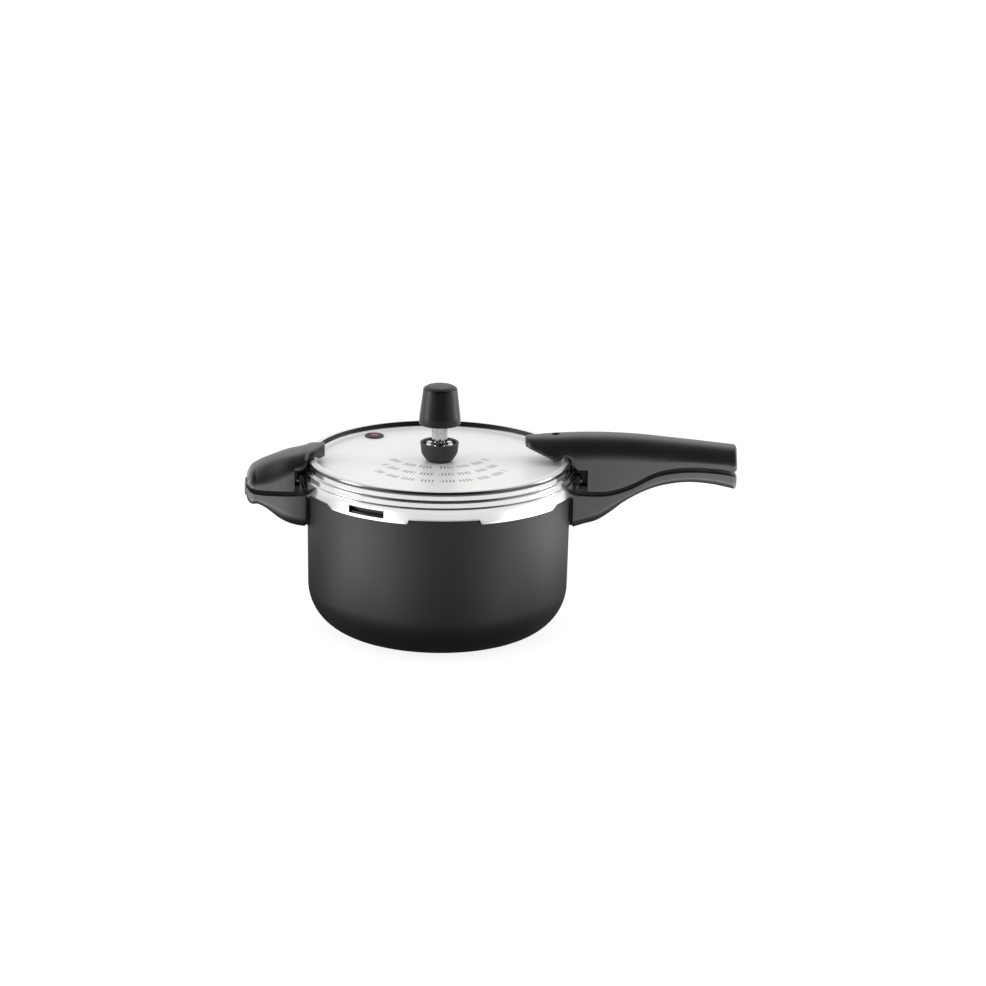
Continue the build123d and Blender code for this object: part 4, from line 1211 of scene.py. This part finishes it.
@dataclass
class Handle(ABC):
    """What both handles share: halves that meet at a parting line, and a heel on the lid's bracket.

    Attributes:
        name: first word of its nodes.
        side: 1 for a handle on +X, -1 for one on -X.
        flank: where the upper half's flanks begin.
        heel_foot: height of the heel's underside.
        belly_r: largest radius of the lower half's lower edges.
        tip: radius of the edge of the lower half's end, and how far that end bulges.
        seam: knots of the parting line.
        crown: knots of the upper half's top.
        chin: knots of the nose's underside.
        belly: knots of the lower half's underside.
        root: radius at which the lower half meets the pot's wall.
    """

    name: str
    side: int
    flank: float
    heel_foot: float
    belly_r: float
    tip: tuple[float, float]
    seam: Knots
    crown: Knots
    chin: Knots
    belly: Knots
    root: float = 112.0

    @abstractmethod
    def half_width(self, x: Array) -> Array:
        """Half the width along the handle."""

    @abstractmethod
    def lower_stations(self) -> Array:
        """Where the lower half's sections stand, after the one at its root."""

    @abstractmethod
    def upper(self) -> Sheet:
        """The upper half."""

    def underside(self, x: Array) -> Array:
        """The upper half's lower line: the chin as far as the flank, then the parting line."""
        return np.where(x < self.flank - HAIR / 2, flowing(x, self.chin), flowing(x, self.seam))

    def heel(self) -> list[Sheet]:
        """The upper half's root between its flanks: it sits on the bracket and meets the lid's steps.

        Returns:
            The three rounded blocks that make it.
        """
        blocks = [
            (SKIRT_R + 2.9, self.flank + 3, 11, self.heel_foot, 139.2, 0.6),
            (SKIRT_R + 0.6, self.flank + 1, 16.4, self.heel_foot, 124.8, 0.4),
            (SKIRT_R - 1.2, SKIRT_R + 3.6, 11, 134.2, 141.0, 0.6),
        ]
        sheets = []
        for near, far, half, low, high, edge in blocks:
            first, last = sorted((self.side * near, self.side * far))
            sheets.append(block((first, -half, low), (last, half, high), edge))
        return sheets

    def lower(self) -> Sheet:
        """The lower half: from the pot's wall under the parting line to the tip.

        Returns:
            The closed surface.
        """
        x = np.concatenate([[self.root], self.lower_stations()])
        foot = flowing(x, self.belly)
        top = flowing(x, self.seam) - PART_GAP
        height = top - foot
        section = Section(self.half_width(x) - 0.2, top, foot, np.minimum(1.2, 0.2 * height),
                          np.minimum(self.belly_r, 0.5 * height), lean=-0.2)
        body = loft(x, section, self.side, (0.8, self.tip[0]), (0.0, self.tip[1]))
        near = eased(self.side * body.points[..., 0], self.root + 14, self.root - 1)
        y = body.points[..., 1]
        body.points[..., 0] += self.side * near * (np.sqrt(self.root ** 2 - y ** 2) - self.root)
        return body

    def build(self, moulding: Material, dull: Material) -> None:
        """Makes both halves and the duller heel.

        Args:
            moulding: finish of the halves.
            dull: finish of the heel.
        """
        grip, node = f"{self.name}_grip", f"{self.name}_handle"
        new_piece(f"{grip}_upper", [self.upper()], moulding, Body.LID, f"{node}_upper")
        new_piece(f"{grip}_heel", self.heel(), dull, Body.LID, f"{node}_upper")
        new_piece(f"{grip}_lower", [self.lower()], moulding, Body.POT, f"{node}_lower")


@dataclass
class LongHandle(Handle):
    """Long handle: its nose reaches far over the lid and holds a screw's recess."""

    name: str = "long"
    side: int = 1
    flank: float = 122.0
    heel_foot: float = 122.1
    belly_r: float = 9.0
    tip: tuple[float, float] = (2.0, 0.4)
    seam: Knots = ((100, 122.0), (145.3, 122.0), (158, 126.4), (178.3, 136.6), (196, 140.2), (211.3, 140.8),
                   (228, 139.6), (246.7, 136.8))
    crown: Knots = ((71, 163.8), (96, 165.5), (120, 166.4), (156, 165.5), (201, 161.1), (246.7, 155.9))
    chin: Knots = ((71, 156.0), (80, 152.6), (90, 148.6), (97, 146.0), (99, 146.7), (102, 149.6),
                   (104.5, 149.9), (107.5, 147.6), (112.3, 139.6), (114, 138.9), (122.1, 138.2))
    belly: Knots = ((112, 87.9), (120, 90.6), (131, 94.0), (140, 99.6), (152, 110.0), (164, 117.4),
                    (176, 122.4), (190, 125.9), (206, 127.4), (225, 125.6), (246.7, 120.4))
    screw_x: float = 96.0
    screw_r: float = 3.4
    screw_depth: float = 3.2
    screw_above: float = 158.0

    def half_width(self, x: Array) -> Array:
        """Half width: round nose corners, a flare to full width at the root, a slight taper to the end.

        Args:
            x: distances from the axis of the pot.

        Returns:
            Half the width at each.
        """
        start = float(span("long_handle_upper")[0][0])
        body = flowing(x, ((start, 10.0), (start + 8, 13.4), (start + 16, 16.6), (start + 24, 17.9),
                           (104, 18.0), (180, 17.3), (246.7, 15.5)))
        return body - 5.0 * quarter(1 - np.clip((x - start) / 6.0, 0, 1))

    def lower_stations(self) -> Array:
        """Even stations to the end."""
        end = reach_of("long_handle_lower") - 2.4
        return np.concatenate([np.arange(self.root + 0.6, end, 2.0), [end]])

    def upper(self) -> Sheet:
        """The upper half: crown over the nose and grip, flanks down to the parting line.

        Returns:
            The closed surface, with the recess sunk into it.
        """
        low, high = span("long_handle_upper")
        start, end = float(low[0]) + 1.2, float(high[0]) - 2.6
        rings = np.array([1.2, 2.4, 3.3, 3.45, 3.6, 3.9, 5])
        x = np.sort(np.concatenate([
            np.linspace(start, start + 8, 9), np.arange(81, 91, 2), self.screw_x - rings, [self.screw_x],
            self.screw_x + rings, np.arange(102, 122, 1.0), np.arange(123, end, 2.0), [end],
            [self.flank - HAIR, self.flank, self.flank + 0.35]]))
        top, foot = flowing(x, self.crown), self.underside(x)
        level = self.half_width(x) - 5.3 + 1.7 * eased(x, 102, 125)
        crown_r = np.minimum(np.minimum(15.0, 0.8 * (top - foot)), level)
        foot_r = np.where(x < self.flank - HAIR / 2, 1.2, 0.9)
        camber = 6.5 - 2.2 * eased(x, 100, 130)
        body = loft(x, Section(self.half_width(x), top, foot, crown_r, foot_r, camber), self.side,
                    (1.2, 2.2), (0.0, 0.4))
        recessed(body, self.screw_x, self.screw_r, self.screw_depth, self.screw_above)
        return body


@dataclass
class HelperHandle(Handle):
    """Helper handle: a short upper half that rolls down to its tip over a lower half with a lip."""

    name: str = "helper"
    side: int = -1
    flank: float = 119.5
    heel_foot: float = 121.1
    belly_r: float = 11.0
    tip: tuple[float, float] = (1.3, 0.1)
    seam: Knots = ((100, 121.0), (135.3, 121.0), (146, 121.4), (152, 122.2), (156, 123.8), (158.4, 125.8),
                   (159.8, 127.2))
    crown: Knots = ((94.8, 157.2), (105, 155.6), (114.3, 153.0), (126, 150.2), (137, 146.3), (146, 142.6),
                    (151, 139.7), (154.6, 136.9), (156.8, 133.4), (158, 129.6))
    chin: Knots = ((94.8, 147.9), (99.5, 147.2), (102.5, 148.7), (104.0, 148.8), (106.8, 147.6),
                   (112.3, 139.6), (114, 138.9), (119.6, 138.2))
    belly: Knots = ((112, 88.1), (121, 90.3), (127, 92.8), (133, 96.4), (139, 101.8), (144, 105.9),
                    (150, 108.9), (155, 108.7), (157, 109.9), (158.4, 112.4), (159.2, 115.6))
    nose: float = 94.8
    tip_x: float = 152.5

    def half_width(self, x: Array) -> Array:
        """Half width: a nose narrower than the root, nearly straight sides and a rounded tip.

        Args:
            x: distances from the axis of the pot.

        Returns:
            Half the width at each.
        """
        body = flowing(x, ((self.nose, 11.0), (102, 15.6), (110, 19.2), (120, 21.0), (140, 20.5),
                           (161, 18.8)))
        corner = np.clip((x - self.nose) / 5.0, 0, 1)
        tip = np.clip((x - self.tip_x) / 8.0, 0, 1)
        return body - 4.0 * quarter(1 - corner) - 8.0 * quarter(tip)

    def lower_stations(self) -> Array:
        """Even stations, closer round the lip."""
        return np.concatenate([np.arange(self.root + 0.6, 150, 1.5), np.linspace(150, 159.2, 10)])

    def upper(self) -> Sheet:
        """The upper half: a crown that rolls down to the tip.

        Returns:
            The closed surface.
        """
        start = -reach_of("helper_handle_upper") + 1.2
        x = np.concatenate([
            np.linspace(start, start + 7, 9), np.arange(104, 119, 1.0),
            [self.flank - HAIR, self.flank, self.flank + 0.35], np.arange(121, 150, 1.5),
            np.linspace(150, 158.0, 12)])
        top, foot = flowing(x, self.crown), self.underside(x)
        crown_r = flowing(x, ((self.nose, 9.0), (self.flank, 10.4), (134, 13.2), (158, 13.5)))
        height = top - foot
        section = Section(self.half_width(x), top, foot, np.minimum(crown_r, 0.78 * height),
                          np.minimum(0.9, 0.3 * height), 5.0 - 3.0 * eased(x, 140, 157))
        return loft(x, section, self.side, (1.4, 0.5), (0.0, 0.1))


# ---------------------------------------------------------------- studio
@dataclass(frozen=True)
class Lamp:
    """A soft box: where it stands, what it faces, its size in metres and its radiance."""

    name: str
    place: tuple[float, float, float]
    aim: tuple[float, float, float]
    size: tuple[float, float]
    radiance: float

    def build(self) -> None:
        """Adds the lamp; its power is radiance times area times pi, as a lambertian panel's is."""
        data = bpy.data.lights.new(self.name, "AREA")
        data.shape = "RECTANGLE"
        data.size, data.size_y = self.size
        data.energy = self.radiance * self.size[0] * self.size[1] * np.pi
        lamp = linked(self.name, data)
        lamp.location = self.place
        lamp.rotation_euler = (Vector(self.aim) - Vector(self.place)).to_track_quat("-Z", "Y").to_euler()


@dataclass
class Studio:
    """Pale floor, white surroundings, soft boxes and the camera."""

    azimuth: float = -3.4
    elevation: float = 16.6
    distance: float = 3.0
    lens: float = 132.0
    roll: float = 1.1
    aim: tuple[float, float, float] = (0.045, 0.0, 0.114)

    def world(self) -> None:
        """White behind and beside the object, dark above the front, for reflections; even otherwise."""
        world = bpy.data.worlds.new("studio_world")
        world.use_nodes = True
        bpy.context.scene.world = world
        kit = NodeKit(world.node_tree)
        direction = kit.node("ShaderNodeTexCoord", {}, {}).outputs["Generated"]
        split = kit.node("ShaderNodeSeparateXYZ", {}, {0: direction})
        across, depth, height = (Signal(kit, socket) for socket in split.outputs)
        behind = depth.step(-0.25, 0.75) * (1.05 + height.step(0.4, 0.9) * 0.6)
        beside = kit.maths("ABSOLUTE", across).step(0.5, 0.9) * 0.7
        mirrored = 0.02 + kit.maths("MAXIMUM", behind, beside)
        seen, glossy, through = kit.ray("Camera"), kit.ray("Glossy"), kit.ray("Transmission")
        other = 1 - seen - glossy - through
        strength = seen + through + glossy * mirrored + other * 0.9
        shade = kit.node("ShaderNodeBackground", {}, {"Color": WHITE, "Strength": strength})
        kit.node("ShaderNodeOutputWorld", {}, {"Surface": shade.outputs[0]})

    def floor(self) -> None:
        """A wide pale sheet: white to the camera but for the object's shadow; to glossy rays it glows with
        painted pools of light at the sides and painted shade near and under the object.
        """
        material, kit = blank("studio_floor")
        x, y, _ = kit.parts(kit.place())
        seen, glossy = kit.ray("Camera"), kit.ray("Glossy")
        grain = kit.noise(kit.place(), 3, 3)
        near = y.step(-1500, -900)
        radius = kit.distance(x, y)
        # painted pools of light at the left and right, seen only in reflections
        left = kit.distance(x + 300, y + 190).step(300, 40)
        right = kit.distance(x - 330, y + 80).step(330, 40)
        # painted shade: the glow falls off close to the object, behind it and to its left, seen only in
        # reflections
        close = radius.step(420, 340)
        rear = y.step(90, 240) * close
        west = y.step(-80, 60) * x.step(-40, -160) * close
        mirror = 0.25 + radius.step(180, 420) * 0.25 + radius.step(420, 540) * 0.5
        mirror = (mirror * 1.3 + left * 3.3 + right * 4) * (1 - rear * 0.7) * (1 - west * 0.85)
        # painted shadow under the object's footprint, seen only in reflections
        aside = kit.maths("ABSOLUTE", y).step(110, 190)
        beyond = kit.maths("MAXIMUM", x.step(262, 300), x.step(-180, -215))
        mirror = mirror * (0.06 + kit.maths("MAXIMUM", aside, beyond) * 0.94)
        pale = kit.node("ShaderNodeBsdfDiffuse", {}, {
            "Color": kit.blend(grain, (0.80, 0.80, 0.80), (0.84, 0.84, 0.84))})
        glow, painted_reflection_glow = (kit.node("ShaderNodeEmission", {}, {"Color": WHITE, "Strength": strength})
                       for strength in (1.2, mirror * near + 0.05))
        shown = kit.node("ShaderNodeMixShader", {}, {0: seen * 0.72, 1: pale.outputs[0], 2: glow.outputs[0]})
        away = kit.node("ShaderNodeMixShader", {}, {0: glossy, 1: shown.outputs[0], 2: painted_reflection_glow.outputs[0]})
        kit.node("ShaderNodeOutputMaterial", {}, {"Surface": away.outputs[0]})
        mesh = bpy.data.meshes.new("studio_floor")
        reach = 9.0
        corners = [(-reach, -reach, 0), (reach, -reach, 0), (reach, reach, 0), (-reach, reach, 0)]
        mesh.from_pydata(corners, [], [(0, 1, 2, 3)])
        mesh.materials.append(material)
        linked("studio_floor", mesh)

    def lamps(self) -> None:
        """Two tall boxes, one at each side."""
        middle = (0.03, 0.0, 0.09)
        Lamp("left_box", (-1.25, -0.16, 0.40), middle, (0.45, 0.90), 6.0).build()
        Lamp("right_box", (1.40, 0.24, 0.40), middle, (0.45, 0.90), 6.0).build()

    def camera(self) -> None:
        """The camera: on a circle about its aim, rolled a little."""
        data = bpy.data.cameras.new("view")
        data.lens = self.lens
        data.sensor_width = 36.0
        camera = linked("view", data)
        turn, rise = radians(self.azimuth), radians(self.elevation)
        away = Vector((np.sin(turn) * np.cos(rise), -np.cos(turn) * np.cos(rise), np.sin(rise)))
        camera.location = Vector(self.aim) + away * self.distance
        camera.rotation_euler = (-away).to_track_quat("-Z", "Y").to_euler()
        camera.rotation_euler.rotate_axis("Z", radians(self.roll))
        bpy.context.scene.camera = camera

    def build(self) -> None:
        """Sets up the whole studio."""
        bpy.context.scene.view_settings.view_transform = "Standard"
        self.camera()
        self.world()
        self.floor()
        self.lamps()


# ---------------------------------------------------------------- all of it
def main() -> None:
    """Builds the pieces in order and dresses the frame's own nodes."""
    logging.basicConfig(level=logging.INFO, format="%(name)s: %(message)s")
    Studio().build()
    coating = PotCoating().material()
    aluminium = SpunAluminium().material()
    handle = Moulding("handle_moulding_black", (0.0012, 0.0012, 0.0014), (0.003, 0.003, 0.0034), 0.42,
                      specular=1.0, ior=1.62).material()
    cup = Moulding("cup_moulding_black", (0.016, 0.016, 0.017), (0.030, 0.030, 0.031), 0.55,
                   grain=0.7, depth=0.05).material()
    cap = Moulding("cap_moulding_black", (0.001, 0.001, 0.0014), (0.002, 0.002, 0.0028), 0.38,
                   grain=0.5, depth=0.006, specular=0.4).material()
    red = Moulding("pin_red_moulding", (0.15, 0.008, 0.020), (0.20, 0.014, 0.028), 0.28,
                   grain=0.5, depth=0.004).material()
    rubber = Moulding("seal_rubber_black", (0.012, 0.012, 0.012), (0.022, 0.022, 0.022), 0.55,
                      grain=0.6, depth=0.01).material()
    silicone = Moulding("gasket_silicone_blue", (0.0, 0.045, 0.58), (0.0, 0.06, 0.66), 0.38,
                        grain=0.8, depth=0.01).material()
    chrome = Plating("vent_chrome_bright", (0.72, 0.72, 0.73), (0.58, 0.58, 0.58), 0.17).material()
    steel = Plating("fastener_steel_zinc", (0.56, 0.57, 0.58), (0.40, 0.41, 0.42), 0.30).material()
    # painted shade: the rivets' aluminium is darkened to stand for the shade they sit in under the handles
    rivet = Plating("rivet_aluminium_shade_darkened", (0.36, 0.36, 0.37), (0.26, 0.26, 0.26), 0.42).material()
    brass = Plating("core_brass_turned", (0.72, 0.52, 0.22), (0.55, 0.38, 0.16), 0.26).material()
    bracket = Moulding("bracket_steel_black", (0.006, 0.006, 0.006), (0.012, 0.012, 0.012), 0.50,
                       grain=0.8, specular=0.3).material()

    Pot().build(coating)
    Lid().build(aluminium)
    Gasket().build(silicone)
    SteamVent().build(cup, chrome)
    Weight().build(cap, chrome)
    Indicator().build(rubber, red)
    LongHandle().build(handle, bracket)
    HelperHandle().build(handle, bracket)
    sides = ("long", "helper")
    seats = [f"{side}_{body.value}" for body in (Body.POT, Body.LID) for side in sides]
    halves = [f"{side}_{half}" for half in ("lower", "upper") for side in sides]
    dress(bracket, *(f"{seat}_bracket" for seat in seats))
    dress(rivet, *(f"{seat}_rivets" for seat in seats), "nose_spacer")
    dress(steel, *(f"{half}_screw" for half in halves), "nose_screw", "nose_nut", "vent_nut",
          "weight_needle")
    dress(chrome, "vent_tube")
    dress(brass, "weight_core")
    dress(rubber, "nose_washer", "vent_seal")


if __name__ == "__main__":
    main()
